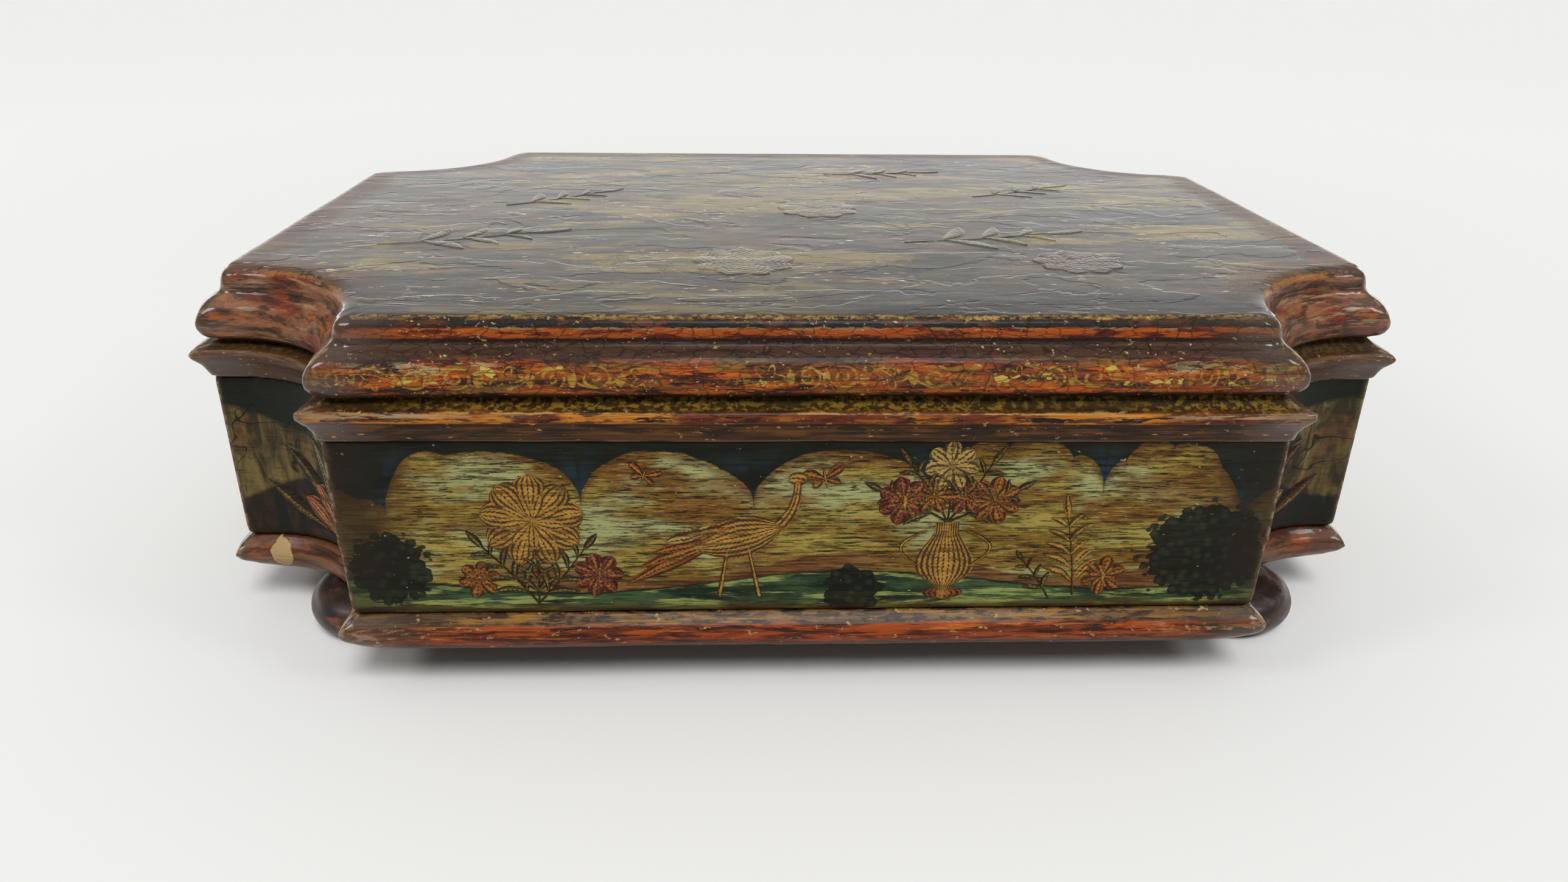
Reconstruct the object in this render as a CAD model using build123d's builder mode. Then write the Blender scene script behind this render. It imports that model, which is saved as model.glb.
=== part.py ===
"""Lacquered wooden table box, about 318 x 238 x 98 mm, with a hinged lid.

The plan is a rectangle whose four corners are scooped out by quarter circles. Every ring of the box
(base, walls, rim, lid frame) follows that plan: four straight runs and four scooped corners, mitred
where they meet. The lid is a board glued into its frame and hung on two butt hinges at the back.
The box stands on four turned bun feet.

Frame: millimetres, +Z up, the front towards -Y, the origin on the floor under the middle of the box.
A ring's section is drawn with its first coordinate outwards from the edge of the lid's flat top, and
its second coordinate upwards from the floor.
"""

import os
from math import asin, cos, degrees, radians, sqrt, tan

from build123d import *

os.makedirs("parts", exist_ok=True)

# Plan, taken at the edge of the lid's flat top
plan_half_length = 150.0  # along X
plan_half_depth = 110.0  # along Y
scoop_radius = 42.0  # of the quarter circle that hollows each corner

# Feet
foot_height = 12.5
foot_radius = 18.3
foot_sole_radius = 12.0
foot_neck_radius = 11.0
foot_neck_height = 0.9
foot_diagonals = {  # from the middle of each scoop to the middle of its foot, as set by hand
    "front_left": 44.0,
    "front_right": 40.0,
    "back_right": 42.0,
    "back_left": 42.5,
}
tenon_radius = 3.4
tenon_length = 4.2
tenon_clearance = 0.1

# Base moulding
base_height = 9.7
base_stand = 8.4  # outwards, at its bead
base_bead_rise = 5.0  # from the underside to the bead's widest line
base_foot_stand = 6.2
base_neck_stand = 6.9
base_neck_height = 2.0  # of the cove between the bead and the wall
base_cove_depth = 0.35  # how far the cove bends in behind a straight line
base_rebate_inset = 1.9  # from the walls' inner face out to the edge of the bottom board's rebate
base_ledge_width = 5.0  # under the bottom board

# Bottom board
bottom_board_thickness = 5.0
board_clearance = 0.2  # round the edge of the bottom board and round the lid board's tongue

# Walls
wall_height = 47.5
wall_thickness = 10.0
wall_stand = 6.0  # outwards, at the top
wall_draw_in = 0.6  # how much the walls lean in towards the bottom

# Rim moulding
rim_band_height = 5.2
rim_band_foot = 0.3  # how far the band stands out from the wall at its lower edge
rim_band_stand = 8.4
rim_band_hollow = 0.5  # depth of the band's shallow cove
rim_bead_height = 3.1
rim_bead_rise = 1.9  # from the bead's foot to its widest line
rim_bead_stand = 9.1
rim_ledge_inset = 0.4  # from the bead's widest line to the outer edge of the ledge
rim_ledge_slope = 0.7
rim_ledge_drop = 0.8  # from the land that carries the lid to the ledge outside it
rim_land_inset = 2.7  # from the edge of the lid's underside to the edge of the land

# Lid frame
lid_gap = 0.3  # between the rim's land and the closed lid
lid_frame_width = 12.2  # of its underside
lid_bead_foot = 6.2  # outwards, where the bead meets the underside
lid_bead_stand = 7.4
lid_bead_neck = 4.7  # outwards, where the bead meets the cove
lid_bead_height = 10.2
lid_bead_rise = 4.0  # from the underside to the bead's widest line
lid_cove_height = 2.2
lid_cove_depth = 0.6  # how far the cove bends in behind a straight line
lid_quirk = 0.5  # how far the board's edge overhangs the cove

# Lid board
lid_edge_height = 5.3  # the part of the board that shows above its frame
lid_edge_stand = 2.1  # outwards, at the rounded edge
lid_edge_foot = 1.6  # outwards, where the rounded edge meets the frame
lid_edge_nose = 2.9  # from the top down to the widest line of the edge
tongue_height = 3.8

# Butt hinges
hinge_end = 13.0  # from the end of the back's plan edge to the hinge
hinge_length = 34.0
hinge_axis_stand = 7.0  # outwards
leaf_width = 9.2  # from the hinge's axis
leaf_thickness = 1.0
barrel_radius = 2.0
knuckle_count = 5
knuckle_gap = 0.2
pin_radius = 0.95
pin_clearance = 0.05
pin_head_radius = 1.5
pin_head_height = 0.6
mortise_clearance = 0.15
barrel_clearance = 0.35

# Hinge nails, three to a leaf
hinge_nail_count = 3
hinge_nail_end = 6.0  # from the end of a leaf to its first nail
hinge_nail_inset = 5.8  # from the hinge's axis to the row of nails
hinge_nail_length = 7.5
hinge_nail_head_width = 3.2
hinge_nail_width = 1.5

# Nails that hold the base moulding under the walls
base_nail_length = 20.0
base_nail_head_width = 4.0
base_nail_width = 2.0
base_nail_offset = 0.8  # outwards
base_nail_end = 22.0  # from the end of a run's plan edge to its first nail
base_nail_spacing = 86.0  # about this far apart

nail_clearance = 0.05
nail_head_angle = 45.0  # between the head's flanks and the nail's axis
nail_point_width = 0.5

# Levels, from the floor up
base_bottom = foot_height
base_top = base_bottom + base_height
bottom_board_bottom = base_top - bottom_board_thickness
wall_top = base_top + wall_height
rim_bead_bottom = wall_top + rim_band_height
rim_bead_top = rim_bead_bottom + rim_bead_height
rim_ledge_top = rim_bead_top + rim_ledge_slope
rim_top = rim_ledge_top + rim_ledge_drop
lid_bottom = rim_top + lid_gap
lid_bead_top = lid_bottom + lid_bead_height
lid_frame_top = lid_bead_top + lid_cove_height
box_top = lid_frame_top + lid_edge_height

# Offsets outwards from the plan
wall_inner_top = wall_stand - wall_thickness
wall_foot = wall_stand - wall_draw_in
wall_inner_foot = wall_foot - wall_thickness
base_rebate = wall_inner_foot + base_rebate_inset
base_inner = base_rebate - base_ledge_width
lid_frame_inner = lid_bead_foot - lid_frame_width
land_edge = lid_bead_foot - rim_land_inset

# Cutting shapes pass the faces that they cut by this much
cut_margin = 3.0
mask_height = box_top + cut_margin

# The mitres are cut over this band of offsets, which holds every section
mitre_inner = min(base_inner, lid_frame_inner, wall_inner_foot) - cut_margin
mitre_outer = max(rim_bead_stand, base_stand, lid_bead_stand) + cut_margin

# A corner is first turned past its quarter, as far as its mitres reach, and then cut to them
overrun_margin = 3.0  # degrees
corner_overrun = degrees(asin(mitre_outer / (scoop_radius - mitre_outer))) + overrun_margin

# Each side's direction from the middle, and each corner's, in quarter turns from the first
SIDES = {"front": (0, -1), "back": (0, 1), "left": (-1, 0), "right": (1, 0)}
CORNERS = {
    "front_left": (-1, -1),
    "front_right": (1, -1),
    "back_right": (1, 1),
    "back_left": (-1, 1),
}
hinge_spread = plan_half_length - scoop_radius - hinge_end - hinge_length / 2
HINGES = {"left": -hinge_spread, "right": hinge_spread}


def mitre_reach(offset):
    """Distance along a side from the corner of the plan's rectangle to the mitre at that offset."""
    return sqrt(scoop_radius**2 - 2 * scoop_radius * offset)


def mitre_bezier(half_side):
    """Ends and control point of the mitre at the end of a side, in that side's own plan axes.

    The mitre lies as far from the straight edge as from the scoop's circle, so it is a parabola.
    """
    inner, outer = mitre_reach(mitre_inner), mitre_reach(mitre_outer)
    middle = (inner + outer) / 2
    rise = (inner - middle) * inner / scoop_radius
    return [
        (half_side - inner, mitre_inner),
        (half_side - middle, mitre_inner + rise),
        (half_side - outer, mitre_outer),
    ]


def outline(offset):
    """The box's plan at that offset, as a sketch."""
    x, y = plan_half_length + offset, plan_half_depth + offset
    end_x = plan_half_length - mitre_reach(offset)
    end_y = plan_half_depth - mitre_reach(offset)
    scoop = (scoop_radius - offset) * cos(radians(45))
    with BuildSketch() as plan:
        with BuildLine():
            for sign_x, sign_y in CORNERS.values():
                ThreePointArc(
                    (sign_x * x, sign_y * end_y),
                    (sign_x * (plan_half_length - scoop), sign_y * (plan_half_depth - scoop)),
                    (sign_x * end_x, sign_y * y),
                )
            for sign in (-1, 1):
                Line((-end_x, sign * y), (end_x, sign * y))
                Line((sign * x, -end_y), (sign * x, end_y))
        make_face()
    return plan.sketch


def run_frame(side):
    """Unit vectors outwards and along a side, and its half length and distance from the middle."""
    outwards = Vector(*SIDES[side], 0)
    halves = (plan_half_length, plan_half_depth)
    if side in ("left", "right"):
        halves = halves[::-1]
    return outwards, outwards.cross(Vector(0, 0, 1)), *halves


def straight_run(section, side):
    """A ring's straight run on one side: the section drawn along the side and mitred at both ends."""
    outwards, along, half_side, distance = run_frame(side)
    start, control, end = mitre_bezier(half_side)
    far_start, far_control, far_end = [(-x, y) for x, y in (start, control, end)]
    with BuildPart() as run:
        with BuildSketch(Plane(outwards * distance, x_dir=outwards, z_dir=along)):
            add(section)
        extrude(amount=half_side, both=True)
        with BuildSketch(Plane(outwards * distance, x_dir=along, z_dir=(0, 0, 1))):
            with BuildLine():
                Bezier(start, control, end)
                Line(end, far_end)
                Bezier(far_end, far_control, far_start)
                Line(far_start, start)
            make_face()
        extrude(amount=mask_height, mode=Mode.INTERSECT)
    return run.part


def scooped_corner(section, corner):
    """A ring's corner: the section turned round the scoop's middle and mitred at both ends."""
    sign_x, sign_y = CORNERS[corner]
    middle = Vector(sign_x * plan_half_length, sign_y * plan_half_depth, 0)
    quarter_turns = list(CORNERS).index(corner)
    along = Vector(1, 0, 0).rotate(Axis.Z, 90 * quarter_turns)
    inwards = along.rotate(Axis.Z, -corner_overrun)
    start, control, end = mitre_bezier(0)
    far = -start[0]
    with BuildPart() as piece:
        with BuildSketch(
            Plane(
                middle + inwards * scoop_radius,
                x_dir=-inwards,
                z_dir=Vector(0, 0, 1).cross(inwards),
            )
        ):
            add(section)
        revolve(axis=Axis(middle, (0, 0, 1)), revolution_arc=90 + 2 * corner_overrun)
        with BuildSketch(Plane(middle, x_dir=along, z_dir=(0, 0, 1))):
            with BuildLine():
                Bezier(*[(-x, -y) for x, y in (end, control, start)])
                Polyline((far, -start[1]), (far, far), (-start[1], far))
                Bezier(*[(-y, -x) for x, y in (start, control, end)])
                Polyline((-end[1], -end[0]), (-end[1], -end[1]), (-end[0], -end[1]))
            make_face()
        extrude(amount=mask_height, mode=Mode.INTERSECT)
    return piece.part


def nail(length, width, head_width, clearance=0.0):
    """A square wrought nail with a sunk head, its face at the origin and its point up, or its hole."""
    head_height = (head_width - width) / 2 / tan(radians(nail_head_angle))
    spans = (
        (0, head_width, head_height, width),
        (head_height, width, length + clearance, nail_point_width),
    )
    with BuildPart() as shape:
        for start, start_width, end, end_width in spans:
            for height, side in ((start, start_width), (end, end_width)):
                with BuildSketch(Plane.XY.offset(height)):
                    Rectangle(side + 2 * clearance, side + 2 * clearance)
            loft(ruled=True)
    return shape.part


def save(piece, label):
    piece.part.label = label
    export_step(piece.part, f"parts/{label}.step")


# Sections of the four rings
with BuildSketch() as base_section:
    with BuildLine():
        base_bead_widest = (base_stand, base_bottom + base_bead_rise)
        base_neck = (base_neck_stand, base_top - base_neck_height)
        Polyline(
            (wall_foot, base_top),
            (base_rebate, base_top),
            (base_rebate, bottom_board_bottom),
            (base_inner, bottom_board_bottom),
            (base_inner, base_bottom),
            (base_foot_stand, base_bottom),
        )
        TangentArc(base_bead_widest, (base_foot_stand, base_bottom), tangent=(0, -1))
        TangentArc(base_bead_widest, base_neck, tangent=(0, 1))
        SagittaArc((wall_foot, base_top), base_neck, -base_cove_depth)
    make_face()

with BuildSketch() as wall_section:
    with BuildLine():
        Polyline(
            (wall_inner_foot, base_top),
            (wall_foot, base_top),
            (wall_stand, wall_top),
            (wall_inner_top, wall_top),
            close=True,
        )
    make_face()

with BuildSketch() as rim_section:
    with BuildLine():
        band_middle = (wall_stand + rim_band_foot + rim_band_stand) / 2
        Polyline(
            (rim_bead_stand - rim_ledge_inset, rim_bead_top),
            (land_edge, rim_ledge_top),
            (land_edge, rim_top),
            (wall_inner_top, rim_top),
            (wall_inner_top, wall_top),
            (wall_stand + rim_band_foot, wall_top),
        )
        ThreePointArc(
            (wall_stand + rim_band_foot, wall_top),
            (band_middle - rim_band_hollow, wall_top + rim_band_height / 2),
            (rim_band_stand, rim_bead_bottom),
        )
        ThreePointArc(
            (rim_band_stand, rim_bead_bottom),
            (rim_bead_stand, rim_bead_bottom + rim_bead_rise),
            (rim_bead_stand - rim_ledge_inset, rim_bead_top),
        )
    make_face()

with BuildSketch() as lid_frame_section:
    with BuildLine():
        cove_top = lid_edge_foot - lid_quirk
        bead_widest = (lid_bead_stand, lid_bottom + lid_bead_rise)
        Polyline(
            (cove_top, lid_frame_top),
            (lid_frame_inner, lid_frame_top),
            (lid_frame_inner, lid_bottom),
            (lid_bead_foot, lid_bottom),
        )
        TangentArc(bead_widest, (lid_bead_foot, lid_bottom), tangent=(0, -1))
        TangentArc(bead_widest, (lid_bead_neck, lid_bead_top), tangent=(0, 1))
        SagittaArc((cove_top, lid_frame_top), (lid_bead_neck, lid_bead_top), -lid_cove_depth)
    make_face()

# Nails and the holes for them
base_nail_size = (base_nail_length, base_nail_width, base_nail_head_width)
hinge_nail_size = (hinge_nail_length, hinge_nail_width, hinge_nail_head_width)
base_nail_hole = nail(*base_nail_size, clearance=nail_clearance)
hinge_nail_hole = nail(*hinge_nail_size, clearance=nail_clearance)

base_nail_places = {}
for side in SIDES:
    outwards, along, half_side, distance = run_frame(side)
    reach = half_side - scoop_radius - base_nail_end
    gaps = max(1, round(2 * reach / base_nail_spacing))
    base_nail_places[side] = [
        Plane(
            outwards * (distance + base_nail_offset)
            + along * (reach * (2 * i / gaps - 1))
            + Vector(0, 0, base_bottom)
        )
        for i in range(gaps + 1)
    ]

hinge_axis_y = plan_half_depth + hinge_axis_stand
hinge_axis_height = (rim_top + lid_bottom) / 2


def hinge_nail_places(hinge_x, up):
    """Places of the nails of one leaf: up is 1 for the lid's leaf and -1 for the case's."""
    y = hinge_axis_y - hinge_nail_inset
    z = hinge_axis_height + up * lid_gap / 2
    reach = hinge_length / 2 - hinge_nail_end
    return [
        Plane(
            (hinge_x + reach * (2 * i / (hinge_nail_count - 1) - 1), y, z),
            x_dir=(1, 0, 0),
            z_dir=(0, 0, up),
        )
        for i in range(hinge_nail_count)
    ]


# Base moulding
for side in SIDES:
    with BuildPart() as base_run:
        add(straight_run(base_section.sketch, side))
        with Locations(*base_nail_places[side]):
            add(base_nail_hole, mode=Mode.SUBTRACT)
    save(base_run, f"base_{side}")

foot_places = {}
for corner, (sign_x, sign_y) in CORNERS.items():
    inset = foot_diagonals[corner] * cos(radians(45))
    foot_places[corner] = Vector(
        sign_x * (plan_half_length - inset), sign_y * (plan_half_depth - inset), 0
    )

for corner in CORNERS:
    with BuildPart() as base_corner:
        add(scooped_corner(base_section.sketch, corner))
        with BuildSketch(Plane(foot_places[corner] + Vector(0, 0, base_bottom))):
            Circle(tenon_radius + tenon_clearance)
        extrude(amount=tenon_length + tenon_clearance, mode=Mode.SUBTRACT)
    save(base_corner, f"base_corner_{corner}")

with BuildPart() as base_nails:
    base_nail = nail(*base_nail_size)
    for places in base_nail_places.values():
        with Locations(*places):
            add(base_nail)
save(base_nails, "base_nails")

# Bottom board, in the rebate of the base moulding
with BuildPart() as bottom_board:
    with BuildSketch(Plane.XY.offset(bottom_board_bottom)):
        add(outline(base_rebate - board_clearance))
    extrude(amount=bottom_board_thickness)
save(bottom_board, "bottom_board")

# Bun feet, turned with a tenon that is glued into the base moulding's corner
for corner in CORNERS:
    with BuildPart() as foot:
        with BuildSketch(Plane(foot_places[corner], x_dir=(1, 0, 0), z_dir=(0, -1, 0))):
            with BuildLine():
                bun_top = foot_height - foot_neck_height
                Polyline(
                    (foot_neck_radius, bun_top),
                    (foot_neck_radius, foot_height),
                    (tenon_radius, foot_height),
                    (tenon_radius, foot_height + tenon_length),
                    (0, foot_height + tenon_length),
                    (0, 0),
                    (foot_sole_radius, 0),
                )
                ThreePointArc(
                    (foot_sole_radius, 0), (foot_radius, bun_top / 2), (foot_neck_radius, bun_top)
                )
            make_face()
        revolve(axis=Axis(foot_places[corner], (0, 0, 1)))
    save(foot, f"foot_{corner}")

# Walls and hollow corner blocks
for side in SIDES:
    with BuildPart() as wall:
        add(straight_run(wall_section.sketch, side))
        with Locations(*base_nail_places[side]):
            add(base_nail_hole, mode=Mode.SUBTRACT)
    save(wall, f"wall_{side}")

for corner in CORNERS:
    with BuildPart() as corner_block:
        add(scooped_corner(wall_section.sketch, corner))
    save(corner_block, f"corner_block_{corner}")


def axis_bar(hinge_x, span, radius):
    """A round bar on the hinge's axis, over that span from the hinge's middle."""
    start, end = span
    with BuildPart() as bar:
        with BuildSketch(Plane((hinge_x + start, hinge_axis_y, hinge_axis_height), z_dir=(1, 0, 0))):
            Circle(radius)
        extrude(amount=end - start)
    return bar.part


def hinge_seat(hinge_x, up):
    """What one hinge takes out of the wood: up is 1 in the lid frame and -1 in the rim."""
    width = leaf_width + mortise_clearance
    notch_half = hinge_length / 2 + pin_head_height + barrel_clearance
    with BuildPart() as seat:
        face = hinge_axis_height + up * lid_gap / 2
        with BuildSketch(Plane((hinge_x, hinge_axis_y - width / 2, face))):
            Rectangle(hinge_length + 2 * mortise_clearance, width)
        extrude(amount=up * leaf_thickness)
        add(axis_bar(hinge_x, (-notch_half, notch_half), barrel_radius + barrel_clearance))
        with Locations(*hinge_nail_places(hinge_x, up)):
            add(hinge_nail_hole)
    return seat.part


# Rim moulding
for side in SIDES:
    with BuildPart() as rim_run:
        add(straight_run(rim_section.sketch, side))
        if side == "back":
            for hinge_x in HINGES.values():
                add(hinge_seat(hinge_x, -1), mode=Mode.SUBTRACT)
    save(rim_run, f"rim_{side}")

for corner in CORNERS:
    with BuildPart() as rim_corner:
        add(scooped_corner(rim_section.sketch, corner))
    save(rim_corner, f"rim_corner_{corner}")

# Lid frame
for side in SIDES:
    with BuildPart() as lid_run:
        add(straight_run(lid_frame_section.sketch, side))
        if side == "back":
            for hinge_x in HINGES.values():
                add(hinge_seat(hinge_x, 1), mode=Mode.SUBTRACT)
    save(lid_run, f"lid_frame_{side}")

for corner in CORNERS:
    with BuildPart() as lid_corner:
        add(scooped_corner(lid_frame_section.sketch, corner))
    save(lid_corner, f"lid_frame_corner_{corner}")


def lid_board_section(half_width):
    """The board above its frame, cut across its middle, with the rounded edge at both ends."""
    edge_nose = (half_width + lid_edge_stand, box_top - lid_edge_nose)
    edge_foot = (half_width + lid_edge_foot, lid_frame_top)
    with BuildSketch() as section:
        with BuildLine():
            Polyline(edge_foot, (0, lid_frame_top), (0, box_top), (half_width, box_top))
            ThreePointArc((half_width, box_top), edge_nose, edge_foot)
        make_face()
        mirror(about=Plane.YZ)
    return section.sketch


# Lid board, with a tongue that drops into the frame
with BuildPart() as lid_board:
    with BuildSketch(Plane.XZ):
        add(lid_board_section(plan_half_length))
    extrude(amount=plan_half_depth + lid_edge_stand + cut_margin, both=True)
    with BuildSketch(Plane.YZ):
        add(lid_board_section(plan_half_depth))
    extrude(amount=plan_half_length + lid_edge_stand + cut_margin, both=True, mode=Mode.INTERSECT)
    for sign_x, sign_y in CORNERS.values():
        scoop_middle = Vector(sign_x * plan_half_length, sign_y * plan_half_depth, 0)
        with BuildSketch(Plane(scoop_middle, x_dir=(1, 0, 0), z_dir=(0, -1, 0))):
            with BuildLine():
                scoop_foot = (scoop_radius - lid_edge_foot, lid_frame_top)
                Polyline(
                    scoop_foot,
                    (scoop_radius - lid_edge_foot, lid_frame_top - cut_margin),
                    (0, lid_frame_top - cut_margin),
                    (0, box_top + cut_margin),
                    (scoop_radius, box_top + cut_margin),
                    (scoop_radius, box_top),
                )
                ThreePointArc(
                    (scoop_radius, box_top),
                    (scoop_radius - lid_edge_stand, box_top - lid_edge_nose),
                    scoop_foot,
                )
            make_face()
        revolve(axis=Axis(scoop_middle, (0, 0, 1)), mode=Mode.SUBTRACT)
    with BuildSketch(Plane.XY.offset(lid_frame_top)):
        add(outline(lid_frame_inner - board_clearance))
    extrude(amount=-tongue_height)
save(lid_board, "lid_board")


def knuckle_spans(first):
    """Ends of every second knuckle along the hinge, starting at the one numbered first."""
    pitch = (hinge_length + knuckle_gap) / knuckle_count
    starts = [i * pitch - hinge_length / 2 for i in range(first, knuckle_count, 2)]
    return [(start, start + pitch - knuckle_gap) for start in starts]


# Hinge leaves: the case's leaf has the outer knuckles
for hand, hinge_x in HINGES.items():
    for owner, up, first in (("case", -1, 0), ("lid", 1, 1)):
        with BuildPart() as leaf:
            leaf_face = hinge_axis_height + up * lid_gap / 2
            with BuildSketch(Plane((hinge_x, hinge_axis_y - leaf_width / 2, leaf_face))):
                Rectangle(hinge_length, leaf_width)
            extrude(amount=up * leaf_thickness)
            for start, end in knuckle_spans(1 - first):
                gap = (start - knuckle_gap, end + knuckle_gap)
                add(axis_bar(hinge_x, gap, barrel_radius + knuckle_gap), mode=Mode.SUBTRACT)
            for span in knuckle_spans(first):
                add(axis_bar(hinge_x, span, barrel_radius))
            whole = (-hinge_length / 2, hinge_length / 2)
            add(axis_bar(hinge_x, whole, pin_radius + pin_clearance), mode=Mode.SUBTRACT)
            with Locations(*hinge_nail_places(hinge_x, up)):
                add(hinge_nail_hole, mode=Mode.SUBTRACT)
        save(leaf, f"{owner}_hinge_leaf_{hand}")

for hand, hinge_x in HINGES.items():
    with BuildPart() as pin:
        half = hinge_length / 2
        add(axis_bar(hinge_x, (-half, half), pin_radius))
        add(axis_bar(hinge_x, (-half - pin_head_height, -half), pin_head_radius))
        add(axis_bar(hinge_x, (half, half + pin_head_height), pin_head_radius))
    save(pin, f"hinge_pin_{hand}")

for owner, up in (("case", -1), ("lid", 1)):
    with BuildPart() as hinge_nails:
        hinge_nail = nail(*hinge_nail_size)
        for hinge_x in HINGES.values():
            with Locations(*hinge_nail_places(hinge_x, up)):
                add(hinge_nail)
    save(hinge_nails, f"{owner}_hinge_nails")
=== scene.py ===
"""Looks of the lacquered box: worn gesso forms over its joinery, painted, pasted with cut-outs, varnished.

Meshes are in metres in the row's frame: the front is towards -Y and the floor is at z = 0.
The finishes work in millimetres, which they take from the object's own coordinates.
"""

import math

import bmesh
import bpy
from mathutils import Matrix, Vector, noise


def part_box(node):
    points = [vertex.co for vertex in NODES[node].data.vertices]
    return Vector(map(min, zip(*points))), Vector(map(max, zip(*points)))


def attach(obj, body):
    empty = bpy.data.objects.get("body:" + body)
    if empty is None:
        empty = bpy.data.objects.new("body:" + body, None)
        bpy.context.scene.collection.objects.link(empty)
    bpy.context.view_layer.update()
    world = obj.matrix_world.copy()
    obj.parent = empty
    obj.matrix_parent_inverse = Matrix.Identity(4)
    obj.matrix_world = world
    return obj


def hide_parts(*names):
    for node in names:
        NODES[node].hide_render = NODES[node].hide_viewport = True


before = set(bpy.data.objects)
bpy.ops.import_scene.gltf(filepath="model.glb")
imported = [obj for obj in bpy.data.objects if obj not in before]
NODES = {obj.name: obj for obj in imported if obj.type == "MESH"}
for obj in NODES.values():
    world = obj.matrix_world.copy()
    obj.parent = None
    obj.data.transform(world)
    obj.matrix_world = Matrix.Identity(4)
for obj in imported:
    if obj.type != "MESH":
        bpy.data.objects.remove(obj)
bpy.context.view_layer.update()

MM = 0.001
SIDES = ("front", "back", "left", "right")
CORNERS = {"front_left": (-1, -1), "front_right": (1, -1), "back_right": (1, 1), "back_left": (-1, 1)}


def ring_nodes(run, corner):
    """Names of a ring's eight nodes: four runs and four scooped corners."""
    return [f"{run}_{side}" for side in SIDES] + [f"{corner}_{place}" for place in CORNERS]


# Levels of the box, read from the frame
WALL_BOTTOM, WALL_TOP = (corner.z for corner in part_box("wall_front"))
BASE_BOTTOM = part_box("base_front")[0].z
RIM_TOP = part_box("rim_front")[1].z
LID_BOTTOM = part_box("lid_frame_front")[0].z
LID_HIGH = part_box("lid_board")[1]
BOX_TOP = LID_HIGH.z

# The plan that every ring follows: straight runs between scooped corners. The lid's board stands past it
LID_EDGE_STAND = 2.13 * MM
HALF_LENGTH = LID_HIGH.x - LID_EDGE_STAND
HALF_DEPTH = LID_HIGH.y - LID_EDGE_STAND
SCOOP_RADIUS = 42 * MM

# The walls stand past the plan, and draw in towards their feet
WALL_STAND = 6.0 * MM
WALL_DRAW_IN = 0.6 * MM

# The rim was cut by hand: its outer side hangs lower, and more so towards the right
RIM_HANG = 1.0 * MM
RIM_HANG_GAIN = 0.8 * MM

# Hand-made unevenness: long, short and fine waves, each with its length, its share and its shift
WAVES = ((34 * MM, 1.0, (0, 0, 0)), (8 * MM, 0.4, (5, 1, 3)), (3 * MM, 0.15, (2, 7, 4)))
EVENER_ON_TOP = 0.75


# Forms

def linked(name, data):
    """A new object in the scene, for a mesh, a light or a camera."""
    made = bpy.data.objects.new(name, data)
    bpy.context.scene.collection.objects.link(made)
    return made


def new_piece(name, shape):
    """A new object with the mesh of a bmesh, which is then freed."""
    mesh = bpy.data.meshes.new(name)
    shape.to_mesh(mesh)
    shape.free()
    return linked(name, mesh)


def plan(point):
    """Distance outwards from the plan of the lid's top, and past the nearest mitre: below 0 in a scoop."""
    across = Vector((abs(point.x) - HALF_LENGTH, abs(point.y) - HALF_DEPTH))
    flat, scooped = max(across), SCOOP_RADIUS - across.length
    return max(flat, scooped), flat - scooped


def ramp(value, low, high):
    """0 at low and 1 at high, held beyond them."""
    return min(1.0, max(0.0, (value - low) / (high - low)))


def merged(nodes):
    """A merged copy of the meshes of some CAD nodes."""
    shape = bmesh.new()
    for node in nodes:
        shape.from_mesh(NODES[node].data)
    bmesh.ops.remove_doubles(shape, verts=shape.verts, dist=1e-6)
    return shape


def soften(shape, verts, passes):
    for _ in range(passes):
        bmesh.ops.smooth_vert(
            shape, verts=verts, factor=0.5, use_axis_x=True, use_axis_y=True, use_axis_z=True
        )


def apply_modifiers(piece):
    """Gives a piece the mesh that its modifiers make of it."""
    mesh = bpy.data.meshes.new_from_object(piece.evaluated_get(bpy.context.evaluated_depsgraph_get()))
    piece.modifiers.clear()
    piece.data = mesh


def settle(piece, body, slot, *nodes):
    """Lets a piece ride on a body, and hides the nodes that it stands for. Its material slot is not used."""
    if nodes:
        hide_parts(*nodes)
    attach(piece, body)


def skin(name, nodes, voxel, softening, unevenness, worn=None, kept=1.0):
    """The gesso skin over some nodes: soft arrises, worn tips, and uneven by hand, less so on top.

    worn(shape) wears the skin further, and kept is the share of its faces that it ends with.
    """
    piece = new_piece(name, merged(nodes))
    remesh = piece.modifiers.new("skin", "REMESH")
    remesh.mode = "VOXEL"
    remesh.voxel_size = voxel
    apply_modifiers(piece)
    shape = bmesh.new()
    shape.from_mesh(piece.data)
    soften(shape, shape.verts, softening)
    if worn:
        worn(shape)
    shape.normal_update()
    for vert in shape.verts:
        swell = sum(share * noise.noise(vert.co / length + Vector(shift)) for length, share, shift in WAVES)
        levelled = 1 - EVENER_ON_TOP * max(0.0, vert.normal.z)
        vert.co += vert.normal * unevenness * levelled * swell
    shape.to_mesh(piece.data)
    shape.free()
    if kept < 1:
        thin = piece.modifiers.new("thin", "DECIMATE")
        thin.ratio = kept
        apply_modifiers(piece)
    piece.data.shade_smooth()
    return piece


def near_tips(shape, reach, depth=math.inf):
    """The points within reach of a tip, down to that depth inside the plan."""
    found = []
    for vert in shape.verts:
        offset, mitre = plan(vert.co)
        if abs(mitre) < reach and offset > -depth:
            found.append(vert)
    return found


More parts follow.
